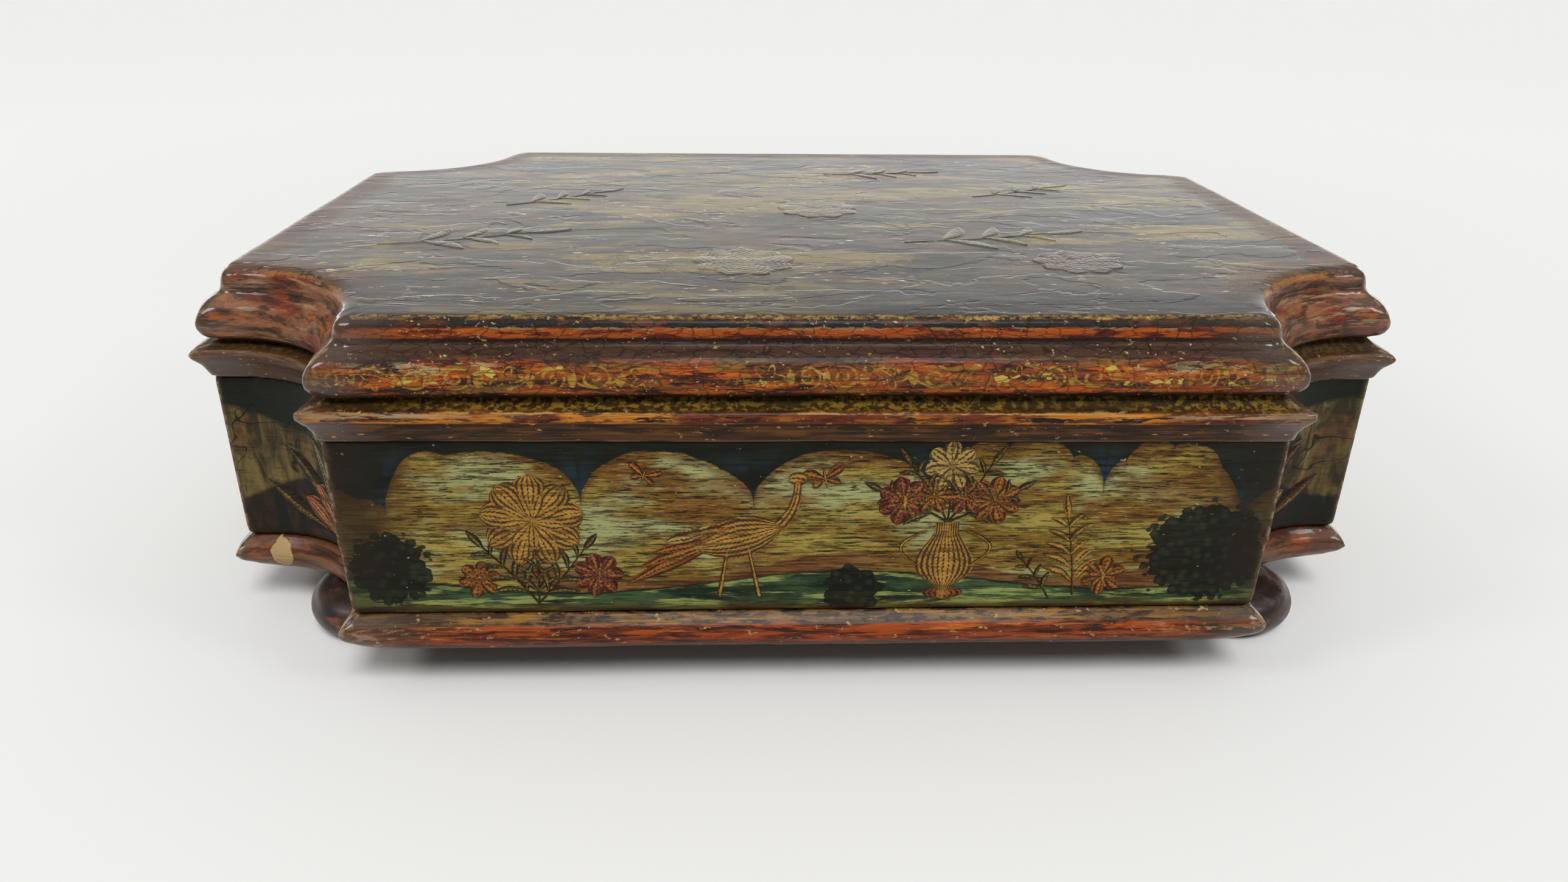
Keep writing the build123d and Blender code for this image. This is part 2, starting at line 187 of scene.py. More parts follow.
def wear_lid(shape):
    """Sweeps the board's edge and the frame together in the scoops, and rounds the worn tips."""
    past_tip, edge_width, low_end = 1 * MM, 3 * MM, LID_BOTTOM + 6 * MM
    scoops = []
    for vert in shape.verts:
        offset, mitre = plan(vert.co)
        if mitre < past_tip and offset > -edge_width and vert.co.z > low_end:
            scoops.append(vert)
    tips = near_tips(shape, 4.5 * MM, depth=7 * MM)
    soften(shape, scoops, 26)
    soften(shape, tips, 22)


def wear_rim(shape):
    """Rounds the rim's tips and lets its outer side hang, all but the land at its top."""
    soften(shape, near_tips(shape, 2.5 * MM), 8)
    for vert in shape.verts:
        outer = ramp(plan(vert.co)[0], 2.5 * MM, 6 * MM)
        below_land = ramp(vert.co.z, RIM_TOP - 0.2 * MM, RIM_TOP - 1.2 * MM)
        vert.co.z -= (RIM_HANG + RIM_HANG_GAIN * vert.co.x / HALF_LENGTH) * outer * below_land


def wear_walls(shape):
    """Rounds the tips of the walls."""
    soften(shape, near_tips(shape, 2 * MM), 4)


def wear_base(shape):
    """Rounds the tips of the base, and rubs its underside away towards them."""
    reach, rubbed = 15 * MM, 1.8 * MM
    middle = (BASE_BOTTOM + WALL_BOTTOM) / 2
    for vert in shape.verts:
        offset, mitre = plan(vert.co)
        if offset > 0:
            nearness = ramp(abs(mitre), reach, 0)
            vert.co.z += rubbed * nearness**2 * ramp(vert.co.z, middle, BASE_BOTTOM)
    soften(shape, near_tips(shape, 4 * MM), 20)


lid_nodes = ["lid_board", *ring_nodes("lid_frame", "lid_frame_corner")]
lid = skin(
    "lid_skin", lid_nodes, voxel=0.85 * MM, softening=3, unevenness=0.26 * MM, worn=wear_lid, kept=0.42
)
settle(lid, "lid", "lid_moulding_lacquer", *lid_nodes)

rim_nodes = ring_nodes("rim", "rim_corner")
rim = skin("rim_moulding", rim_nodes, voxel=0.75 * MM, softening=2, unevenness=0.24 * MM, worn=wear_rim)
settle(rim, "case", "rim_lacquer", *rim_nodes)

wall_nodes = ring_nodes("wall", "corner_block")
walls = skin("painted_walls", wall_nodes, voxel=1.2 * MM, softening=1, unevenness=0.15 * MM, worn=wear_walls)
settle(walls, "case", "wall_lacquer", *wall_nodes)

base_nodes = ring_nodes("base", "base_corner")
base = skin("base_moulding", base_nodes, voxel=0.75 * MM, softening=3, unevenness=0.28 * MM, worn=wear_base)
settle(base, "case", "base_lacquer", *base_nodes)

feet = []
for place in CORNERS:
    foot = skin(f"bun_{place}", [f"foot_{place}"], voxel=0.8 * MM, softening=3, unevenness=0.5 * MM)
    settle(foot, "case", "foot_lacquer", f"foot_{place}")
    feet.append(foot)


# Cut-outs: prints of flowers, birds and leaves, cut out, pasted on and varnished over

def leaf(along):
    return math.sin(math.pi * along) ** 0.8


def petal(along):
    return math.sin(math.pi * along**1.6) ** 0.6


def disc(along):
    return math.sqrt(max(0.0, 1 - (2 * along - 1) ** 2))


def stalk(along):
    return 1 - 0.5 * along


def vase(along):
    """Half width of an urn from its foot to its lip."""
    belly = 0.42 + 0.58 * math.sin(math.pi * min(1.0, 1.15 * along)) ** 1.5
    waist = 0.25 * math.exp(-(((along - 0.12) / 0.09) ** 2))
    return belly - waist


GOLD_PRINT = (0.50, 0.28, 0.07)
PALE_PRINT = (0.52, 0.38, 0.17)
ROSE_PRINT = (0.20, 0.022, 0.03)
RUST_PRINT = (0.30, 0.085, 0.02)
GREEN_PRINT = (0.03, 0.05, 0.022)

# Heights of a cut-out in millimetres: its ground, its dome, the tuck of its edges into the surface, and
# the steps by which each lies over the one before it, up to the last step
PASTED, DOMED, TUCKED = 0.12, 0.22, 0.5
NEXT_LIFT, LAST_LIFT = 0.013, 0.09


class Sheet:
    """Cut-outs pasted on one face of the box, drawn in millimetres in that face's own plane.

    spot(along, up, out) is the place on the box of a point of the drawing.
    """

    def __init__(self, name, spot):
        self.name = name
        self.spot = spot
        self.shape = bmesh.new()
        self.stroke = self.shape.loops.layers.uv.new("stroke")
        self.tint = self.shape.loops.layers.float_color.new("tint")
        self.lift = 0.0

    def cut(self, profile, start, end, width, tint, bend=0.0):
        """One domed shape from start to end, with that profile of half widths, bent to one side.

        Its UV map holds the place across it, -1 to 1, and along it in millimetres, and the alpha of its
        tint holds its half width in centimetres. Its side is to the right of its axis, so it faces outwards.
        """
        made = bmesh.ops.create_grid(self.shape, x_segments=6, y_segments=14, size=1.0)
        start, end = Vector(start), Vector(end)
        axis = end - start
        side = Vector((axis.y, -axis.x)).normalized()
        self.lift = (self.lift + NEXT_LIFT) % LAST_LIFT
        strokes = {}
        for vert in made["verts"]:
            across, along = vert.co.x, (vert.co.y + 1) / 2
            strokes[vert] = (across, along * axis.length)
            bow = bend * math.sin(math.pi * along)
            flat = start + axis * along + side * (across * width / 2 * profile(along) + bow)
            height = PASTED + self.lift + DOMED * (1 - across**2) - TUCKED * abs(across) ** 8
            vert.co = self.spot(flat.x, flat.y, height)
        for face in {face for vert in made["verts"] for face in vert.link_faces}:
            face.smooth = True
            for loop in face.loops:
                loop[self.stroke].uv = strokes[loop.vert]
                loop[self.tint] = (*tint, width / 20)

    def paste(self, body, slot):
        """Ends the sheet: a piece that rides on that body."""
        piece = new_piece(self.name, self.shape)
        settle(piece, body, slot)
        return piece


def polar(centre, angle, reach):
    """The point at that distance and angle, in degrees, from a centre."""
    return (
        centre[0] + reach * math.cos(math.radians(angle)),
        centre[1] + reach * math.sin(math.radians(angle)),
    )


def bloom(sheet, centre, radius, petals, tint, turn=0.0):
    """An open flower: a ring of petals, a smaller ring inside it and a round middle."""
    for i in range(petals):
        angle = turn + 360 * i / petals
        foot, tip = polar(centre, angle, 0.15 * radius), polar(centre, angle, radius)
        sheet.cut(petal, foot, tip, 0.8 * radius, tint)
    for i in range(petals):
        angle = turn + 360 * (i + 0.5) / petals
        sheet.cut(petal, centre, polar(centre, angle, 0.62 * radius), 0.5 * radius, tint)
    low, high = polar(centre, 90, -0.24 * radius), polar(centre, 90, 0.24 * radius)
    sheet.cut(disc, low, high, 0.48 * radius, GOLD_PRINT)


def sprig(sheet, foot, angle, length, leaves, tint, bend=0.4):
    """A stalk with leaves in pairs, which get smaller to its tip."""
    tip = polar(foot, angle, length)
    for i in range(leaves):
        share = (i + 1) / (leaves + 0.6)
        joint = polar(foot, angle, share * length)
        size = length * 0.42 * (1.1 - 0.6 * share)
        for turn in (-52, 52):
            bow = 0.08 * turn / 52 * size
            sheet.cut(leaf, joint, polar(joint, angle + turn, size), 0.34 * size, tint, bow)
    sheet.cut(stalk, foot, tip, 0.7, tint, bend)
    sheet.cut(leaf, tip, polar(tip, angle, 0.3 * length), 0.12 * length, tint)


def bird(sheet, feet_at, size, facing, tint):
    """A long-legged bird that stands, with a swept tail."""
    x, y = feet_at

    def at(forward, up):
        return x + facing * forward * size, y + up * size

    for step in (-0.07, 0.08):
        sheet.cut(stalk, at(2 * step, 0), at(step, 0.42), 0.05 * size, tint)
    for i, drop in enumerate((0.30, 0.16, 0.04)):
        sheet.cut(leaf, at(-0.1, 0.5), at(0.1 * i - 0.82, 0.42 - drop), 0.15 * size, RUST_PRINT)
    sheet.cut(leaf, at(-0.34, 0.42), at(0.34, 0.59), 0.42 * size, tint)
    sheet.cut(stalk, at(0.24, 0.54), at(0.44, 0.98), 0.13 * size, tint, facing * 0.07 * size)
    sheet.cut(disc, at(0.37, 0.98), at(0.51, 0.98), 0.13 * size, tint)
    sheet.cut(leaf, at(0.44, 0.98), at(0.68, 0.95), 0.05 * size, GOLD_PRINT)
    for i in range(4):
        root, drop = 0.16 - 0.09 * i, 0.02 + 0.03 * i
        feather = PALE_PRINT if i % 2 else RUST_PRINT
        sheet.cut(petal, at(root, 0.58), at(root - 0.42, 0.58 - drop), 0.13 * size, feather)


def urn(sheet, foot, size):
    """A footed urn full of flowers and leaves."""
    x, y = foot
    lip = (x, y + 0.5 * size)
    for angle in (28, 58, 90, 122, 152):
        sprig(sheet, lip, angle, 0.44 * size, 3, GREEN_PRINT)
    for angle, reach, tint in ((152, 0.3, ROSE_PRINT), (28, 0.3, RUST_PRINT), (90, 0.37, PALE_PRINT)):
        bloom(sheet, polar(lip, angle, reach * size), 0.16 * size, 7, tint, turn=angle)
    for angle, reach, tint in ((118, 0.2, RUST_PRINT), (62, 0.19, ROSE_PRINT)):
        bloom(sheet, polar(lip, angle, reach * size), 0.12 * size, 6, tint, turn=angle)
    for facing in (-1, 1):
        top, low = (x + facing * 0.13 * size, y + 0.44 * size), (x + facing * 0.15 * size, y + 0.2 * size)
        sheet.cut(stalk, top, low, 0.035 * size, GOLD_PRINT, bend=-facing * 0.13 * size)
    sheet.cut(disc, (x, y - 0.03 * size), (x, y + 0.05 * size), 0.3 * size, RUST_PRINT)
    sheet.cut(vase, (x, y), lip, 0.42 * size, GOLD_PRINT)


def butterfly(sheet, centre, size, turn):
    for angle, reach in ((28, 1.0), (152, 1.0), (-28, 0.7), (208, 0.7)):
        sheet.cut(petal, centre, polar(centre, angle + turn, reach * size), 0.6 * reach * size, RUST_PRINT)
    tail, head = polar(centre, 270 + turn, 0.5 * size), polar(centre, 90 + turn, 0.5 * size)
    sheet.cut(leaf, tail, head, 0.2 * size, GOLD_PRINT)


def wall_stand(up):
    """How far the walls stand past the plan, that many millimetres over their feet."""
    return WALL_STAND - WALL_DRAW_IN * (1 - up * MM / (WALL_TOP - WALL_BOTTOM))


def wall_spot(side):
    """Places a drawing on a wall: along it from its middle, up from its foot, and out from its face."""
    turn = {"front": 0, "right": 90, "back": 180, "left": 270}[side]
    distance = HALF_DEPTH if side in ("front", "back") else HALF_LENGTH

    def spot(along, up, out):
        place = Vector((along * MM, -(distance + wall_stand(up) + out * MM), WALL_BOTTOM + up * MM))
        place.rotate(Matrix.Rotation(math.radians(turn), 3, "Z"))
        return place

    return spot


def scoop_spot(corner):
    """Places a drawing on a scooped corner, whose line along runs from left to right seen from outside."""
    sign_x, sign_y = CORNERS[corner]
    middle = Vector((sign_x * HALF_LENGTH, sign_y * HALF_DEPTH, 0))
    facing = math.atan2(-sign_y, -sign_x)
    proud = 0.3

    def spot(along, up, out):
        radius = SCOOP_RADIUS - wall_stand(up) - (out + proud) * MM
        angle = facing - along * MM / radius
        return middle + Vector((radius * math.cos(angle), radius * math.sin(angle), WALL_BOTTOM + up * MM))

    return spot


def lid_spot(along, up, out):
    """Places a drawing on the lid, from its middle, where rubbing has left it little relief."""
    relief, proud = 0.35, 0.04
    return Vector((along * MM, up * MM, BOX_TOP + (relief * out + proud) * MM))


def front_cutouts():
    sheet = Sheet("cutouts_front", wall_spot("front"))
    for foot, angle, length in (((-67, 3), 128, 20), ((-67, 3), 52, 19), ((-67, 3), 90, 16)):
        sprig(sheet, foot, angle, length, 4, GREEN_PRINT)
    bloom(sheet, (-67, 26), 12.5, 9, GOLD_PRINT, turn=10)
    bloom(sheet, (-52, 11), 6.2, 7, ROSE_PRINT)
    bloom(sheet, (-81, 10), 5.2, 6, RUST_PRINT, turn=14)
    bird(sheet, (-18, 4.5), 33, 1, GOLD_PRINT)
    urn(sheet, (33, 4.5), 41)
    sprig(sheet, (66, 4), 99, 22, 5, GOLD_PRINT)
    sprig(sheet, (60, 3), 124, 13, 3, GREEN_PRINT)
    bloom(sheet, (73, 9.5), 5.6, 6, RUST_PRINT, turn=20)
    butterfly(sheet, (3, 37), 5.5, 12)
    butterfly(sheet, (-40, 38), 4.6, -18)
    return sheet.paste("case", "wall_lacquer")


def back_cutouts():
    sheet = Sheet("cutouts_back", wall_spot("back"))
    urn(sheet, (-52, 4.5), 39)
    bird(sheet, (4, 5), 32, -1, PALE_PRINT)
    for foot, angle, length in (((58, 3), 122, 18), ((58, 3), 58, 17)):
        sprig(sheet, foot, angle, length, 4, GREEN_PRINT)
    bloom(sheet, (58, 24), 11.5, 8, ROSE_PRINT)
    sprig(sheet, (82, 4), 100, 15, 4, GOLD_PRINT)
    butterfly(sheet, (26, 38), 4.8, 20)
    return sheet.paste("case", "wall_lacquer")


def side_cutouts(side, facing):
    sheet = Sheet(f"cutouts_{side}", wall_spot(side))
    bird(sheet, (-24 * facing, 5), 30, facing, GOLD_PRINT)
    for turn in (-32, 32):
        sprig(sheet, (27 * facing, 3), 90 + turn, 17, 4, GREEN_PRINT)
    bloom(sheet, (27 * facing, 23), 11, 8, RUST_PRINT)
    butterfly(sheet, (5 * facing, 36), 4.8, 15)
    return sheet.paste("case", "wall_lacquer")


def corner_cutouts(corner, facing, tints):
    """Painted sprays in a scoop: a bud near its middle, with broad leaves."""
    bud, broad, dark = tints
    sheet = Sheet(f"spray_{corner}", scoop_spot(corner))
    for profile, low, high, width, tint, bend in (
        (leaf, (-3, 12), (-7, 33), 7, broad, 1.5), (leaf, (-6, 5), (-24, 18), 5, dark, -2),
        (leaf, (-5, 9), (-17, 29), 4.5, dark, 1.5), (petal, (-1, 3), (-13, 14), 7, bud, 0),
        (petal, (0, 4), (-8, 19), 7, bud, 0), (petal, (2, 4), (1, 17), 6, bud, 0),
    ):
        start, end = ((along * facing, up) for along, up in (low, high))
        sheet.cut(profile, start, end, width, tint, bend * facing)
    return sheet.paste("case", "wall_lacquer")


def lid_cutouts():
    """Low cut-outs on the lid, which show by their edges under the varnish."""
    sheet = Sheet("cutouts_lid", lid_spot)
    taupe, olive, mauve, grey = (0.12, 0.1, 0.07), (0.2, 0.16, 0.06), (0.17, 0.09, 0.07), (0.09, 0.11, 0.08)
    for foot, angle, length, tint in (
        ((-118, -44), 20, 42, taupe), ((-92, 8), 38, 34, grey), ((30, -40), 14, 44, olive),
        ((62, 24), 30, 34, taupe), ((14, 64), 8, 34, mauve),
    ):
        sprig(sheet, foot, angle, length, 3, tint, bend=1.5)
    for centre, radius, tint in (((-16, -62), 14, taupe), ((74, -62), 12, mauve), ((8, 4), 13, olive)):
        bloom(sheet, centre, radius, 9, tint, turn=12)
    return sheet.paste("lid", "lid_top_lacquer")


WARM_SPRAY = ((0.50, 0.17, 0.11), (0.08, 0.13, 0.12), (0.02, 0.026, 0.02))
COOL_SPRAY = ((0.24, 0.22, 0.09), (0.09, 0.13, 0.13), (0.05, 0.025, 0.025))
cutouts = [front_cutouts(), back_cutouts(), side_cutouts("left", 1), side_cutouts("right", -1)]
cutouts += [
    corner_cutouts("front_left", 1, WARM_SPRAY),
    corner_cutouts("front_right", -1, COOL_SPRAY),
    corner_cutouts("back_right", 1, WARM_SPRAY),
    corner_cutouts("back_left", -1, COOL_SPRAY),
]
lid_prints = lid_cutouts()


# Finishes

def colour(code):
    """A colour from its red, green and blue on a screen, each 0 to 255."""
    channels = [value / 255 for value in code]
    return tuple(c / 12.92 if c <= 0.04045 else ((c + 0.055) / 1.055) ** 2.4 for c in channels) + (1.0,)


class Value:
    """Something that varies over a surface. Arithmetic on it adds Math nodes."""

    def __init__(self, paint, socket):
        self.paint = paint
        self.socket = socket

    def __add__(self, other):
        return self.paint.math("ADD", self, other)

    def __sub__(self, other):
        return self.paint.math("SUBTRACT", self, other)

    def __rsub__(self, other):
        return self.paint.math("SUBTRACT", other, self)

    def __mul__(self, other):
        return self.paint.math("MULTIPLY", self, other)

    def __abs__(self):
        return self.paint.math("ABSOLUTE", self)

    __radd__ = __add__
    __rmul__ = __mul__


class Mixer:
    """Adds nodes to a tree."""

    def __init__(self, tree):
        self.tree = tree

    def node(self, kind, settings, sockets, output=0):
        """Adds a node, with its settings first and then the values or links of its sockets."""
        made = self.tree.nodes.new(kind)
        for name, value in settings.items():
            setattr(made, name, value)
        for name, value in sockets.items():
            if isinstance(value, Value):
                self.tree.links.new(value.socket, made.inputs[name])
            else:
                made.inputs[name].default_value = value
        return Value(self, made.outputs[output])

    def math(self, operation, *values):
        return self.node("ShaderNodeMath", {"operation": operation}, dict(enumerate(values)))

    def vector(self, operation, sockets, output=0):
        return self.node("ShaderNodeVectorMath", {"operation": operation}, sockets, output)

    def parts(self, vector):
        """The three numbers of a vector."""
        apart = self.node("ShaderNodeSeparateXYZ", {}, {0: vector})
        return [Value(self, socket) for socket in apart.socket.node.outputs]

    def greatest(self, first, *others):
        for other in others:
            first = self.math("MAXIMUM", first, other)
        return first

    def smooth(self, value, low, high):
        """0 below low and 1 above high, or the other way round where low is the larger."""
        return self.node(
            "ShaderNodeMapRange", {"interpolation_type": "SMOOTHSTEP"}, {0: value, 1: low, 2: high}
        )

    def within(self, value, low, high, blur):
        """1 between low and high, and 0 outside."""
        return self.smooth(value, low - blur, low + blur) * self.smooth(value, high + blur, high - blur)

    def mix(self, under, over, share):
        """One colour over another. A colour is a link, or its screen values, each 0 to 255."""
        under, over = (colour(tone) if isinstance(tone, tuple) else tone for tone in (under, over))
        settings = {"data_type": "RGBA", "clamp_factor": True}
        return self.node("ShaderNodeMix", settings, {0: share, 6: under, 7: over}, 2)

    def coats(self, base, *layers):
        """Lays colours over a base one after another, each with its share of 0 to 1."""
        for tone, share in layers:
            base = self.mix(base, tone, share)
        return base


AMBER = (205, 196, 166)


class Paint(Mixer):
    """One finish while it is mixed: its material, and what it reads of the surface."""

    def __init__(self, name, constants):
        self.material = bpy.data.materials.new(name)
        self.material.use_nodes = True
        super().__init__(self.material.node_tree)
        self.shader = self.tree.nodes["Principled BSDF"]
        for socket, value in constants.items():
            self.shader.inputs[socket].default_value = value
        place = self.node("ShaderNodeTexCoord", {}, {}, "Object")
        self.place = self.vector("SCALE", {0: place, "Scale": 1 / MM})
        self.x, self.y, self.z = self.parts(self.place)

    def spread(self, sizes, seed):
        """The place on the surface, with each axis measured in its own size, moved on by a seed."""
        shares = tuple(1 / size for size in sizes)
        moved = (seed * 7.31, seed * 3.17, seed * 5.71)
        return self.vector("MULTIPLY_ADD", {0: self.place, 1: shares, 2: moved})

    def cloudy(self, sizes, seed, detail=4.0, roughness=0.6, distortion=0.0):
        """Cloudy noise from 0 to 1, with blotches of those sizes along X, Y and Z in millimetres."""
        sockets = {
            "Vector": self.spread(sizes, seed), "Scale": 1.0, "Detail": detail,
            "Roughness": roughness, "Distortion": distortion,
        }
        return self.node("ShaderNodeTexNoise", {"noise_dimensions": "3D"}, sockets)

    def cells(self, sizes, seed, feature="F1"):
        sockets = {"Vector": self.spread(sizes, seed), "Scale": 1.0}
        return self.node("ShaderNodeTexVoronoi", {"feature": feature}, sockets)

    def patches(self, sizes, seed, share, blur=0.03, detail=4.0, roughness=0.6, distortion=0.0):
        """Patches that cover about that share of the surface."""
        edge = 0.5 + 0.33 * (0.5 - share)
        field = self.cloudy(sizes, seed, detail, roughness, distortion)
        return self.smooth(field, edge - blur, edge + blur)

    def scar(self, place, sizes, seed):
        """1 in one ragged spot at that place, with those half sizes, in millimetres."""
        apart = self.vector("SUBTRACT", {0: self.place, 1: place})
        apart = self.vector("MULTIPLY", {0: apart, 1: tuple(1 / size for size in sizes)})
        reach = self.vector("LENGTH", {0: apart}, 1)
        ragged = self.cloudy((4, 4, 4), seed, 4, 0.65)
        return self.smooth(reach + ragged * 0.9, 1.45, 1.36)

    def read_plan(self):
        """Reads where the surface lies in the box's plan, in millimetres."""
        half_length, half_depth, scoop = HALF_LENGTH / MM, HALF_DEPTH / MM, SCOOP_RADIUS / MM
        past_x, past_y = abs(self.x) - half_length, abs(self.y) - half_depth
        flat = self.greatest(past_x, past_y)
        reach = self.math("SQRT", past_x * past_x + past_y * past_y)
        self.offset = self.greatest(flat, scoop - reach)
        self.mitre = flat - (scoop - reach)
        self.scooped = self.smooth(self.mitre, 0.3, -0.3)
        self.long = self.math("GREATER_THAN", past_y, past_x)
        run = self.x * self.long + self.y * (1 - self.long)
        turn = self.math("ARCTAN2", past_y, past_x) * scoop
        self.along = run * (1 - self.scooped) + turn * self.scooped

    def read_wall(self):
        """Reads where the surface lies on a wall, and the brushwork that all its paints share."""
        self.read_plan()
        self.up = self.z - WALL_BOTTOM / MM
        back = self.math("GREATER_THAN", self.y, 0.0)
        right = self.math("GREATER_THAN", self.x, 0.0)
        self.phase = (back * 0.41 + 0.08) * self.long + (right * 0.37 + 0.63) * (1 - self.long)
        long_half, short_half = (half / MM - SCOOP_RADIUS / MM for half in (HALF_LENGTH, HALF_DEPTH))
        self.to_end = long_half * self.long + short_half * (1 - self.long) - abs(self.along)
        self.ragged = self.cloudy((4, 4, 2), 103, 4, 0.7) - 0.5
        self.streak = self.cloudy((13, 13, 0.8), 104, 5, 0.75)
        self.dashes = self.cloudy((5, 5, 0.5), 105, 4, 0.7)
        self.wash = self.cloudy((30, 30, 9), 106, 4)

    def read_stroke(self):
        """Reads a cut-out: across it and along it in millimetres, its half width and its tint."""
        share, self.stroke_along, _ = self.parts(self.node("ShaderNodeUVMap", {"uv_map": "stroke"}, {}))
        self.tint = self.node("ShaderNodeAttribute", {"attribute_name": "tint"}, {}, "Color")
        alpha = Value(self, self.tint.socket.node.outputs["Alpha"])
        self.half_width = alpha * 10
        self.stroke_across = share * self.half_width
        self.side = abs(share)

    def varnish(self, base):
        """The colour under varnish that has yellowed."""
        settings = {"data_type": "RGBA", "blend_type": "MULTIPLY"}
        return self.node("ShaderNodeMix", settings, {0: 1.0, 6: base, 7: colour(AMBER)}, 2)

    def finish(self, base, roughness, height, coat=None):
        """Feeds the shader: colour, roughness and a relief in millimetres."""
        links = {"Base Color": base, "Roughness": roughness, "Coat Weight": coat}
        for socket, value in links.items():
            if isinstance(value, Value):
                self.tree.links.new(value.socket, self.shader.inputs[socket])
            elif value is not None:
                self.shader.inputs[socket].default_value = value
        bump = self.node("ShaderNodeBump", {}, {"Strength": 1.0, "Distance": MM, "Height": height})
        self.tree.links.new(bump.socket, self.shader.inputs["Normal"])
        return self.material


class Moulding(Paint):
    """The lacquer of a moulded ring, by its level in millimetres over a foot, with ragged borders."""

    def __init__(self, name, foot, raggedness, seed):
        super().__init__(name, {"Coat Roughness": 0.1, "Specular IOR Level": 0.16})
        self.read_plan()
        self.level = self.z - foot / MM
        self.ragged = self.cloudy((raggedness, raggedness, 3), seed, 5, 0.7) - 0.5

    def painted_tip_sheen(self, sizes, seed, detail, far, near):
        """Painted sheen: a greyish veil of reflected light towards the tips of the ring, with a ragged edge:
        none past far, full within near.
        """
        return self.smooth(self.mitre + self.cloudy(sizes, seed, detail) * 40, far, near)

    def tip_gloss(self):
        """The clear coat, which has kept its thickness near the tips alone."""
        return 0.08 + 0.7 * self.smooth(abs(self.mitre), 18, 4)


def rub_arris(paint, base, width, seed):
    """Rubs the tips of a ring: browned over about that width, and bare in specks along the tip itself."""
    near = abs(paint.mitre)
    ragged = paint.cloudy((6, 6, 4), seed, 5, 0.7)
    browned = paint.smooth(near + ragged * (2 * width), 1.9 * width, 1.1 * width)
    bare = paint.smooth(near, 0.5 * width, 0.1 * width) * paint.patches((2.4, 2.4, 2.0), seed + 1, 0.4, 0.05)
    return paint.coats(base, ((94, 72, 58), browned * 0.7), ((176, 154, 132), bare * 0.8))


def scrollwork(paint, up, seed):
    """Running scrolls on a bead: a curl or a rosette in every span, leaves between them, and a waved stem.

    up is the height from the middle of the bead, in millimetres.
    """
    span = 9.5
    sway = paint.cloudy((40, 40, 400), seed, 1) * 16
    count = (paint.along + sway) * (1 / span)
    share = paint.math("FRACT", count)
    side = paint.math("GREATER_THAN", paint.math("FRACT", count * 0.5), 0.5) * 2 - 1
    across, rise = (share - 0.5) * span, up * side
    reach = paint.math("SQRT", across * across * 0.7 + rise * rise)
    angle = paint.math("ARCTAN2", rise, across)
    winding = abs(paint.math("FRACT", reach * 0.6 - angle * (0.5 / math.pi)) - 0.5)
    curl = paint.smooth(winding, 0.24, 0.12) * paint.smooth(reach, 3.0, 2.6)
    petals = paint.math("COSINE", angle * 5) * 0.8 + 2.0
    rosette = paint.smooth(abs(reach - petals), 0.4, 0.2)
    third = paint.math("GREATER_THAN", paint.math("FRACT", count * (1 / 3)), 2 / 3)
    figure = rosette * third + curl * (1 - third)
    stem = paint.smooth(abs(up - paint.math("SINE", count * math.pi) * 2.3), 0.36, 0.16)
    to_leaf = (0.5 - abs(share - 0.5)) * span
    leaves = paint.smooth(to_leaf + rise * rise * 0.2, 1.2, 0.8)
    return paint.greatest(figure, stem, leaves)


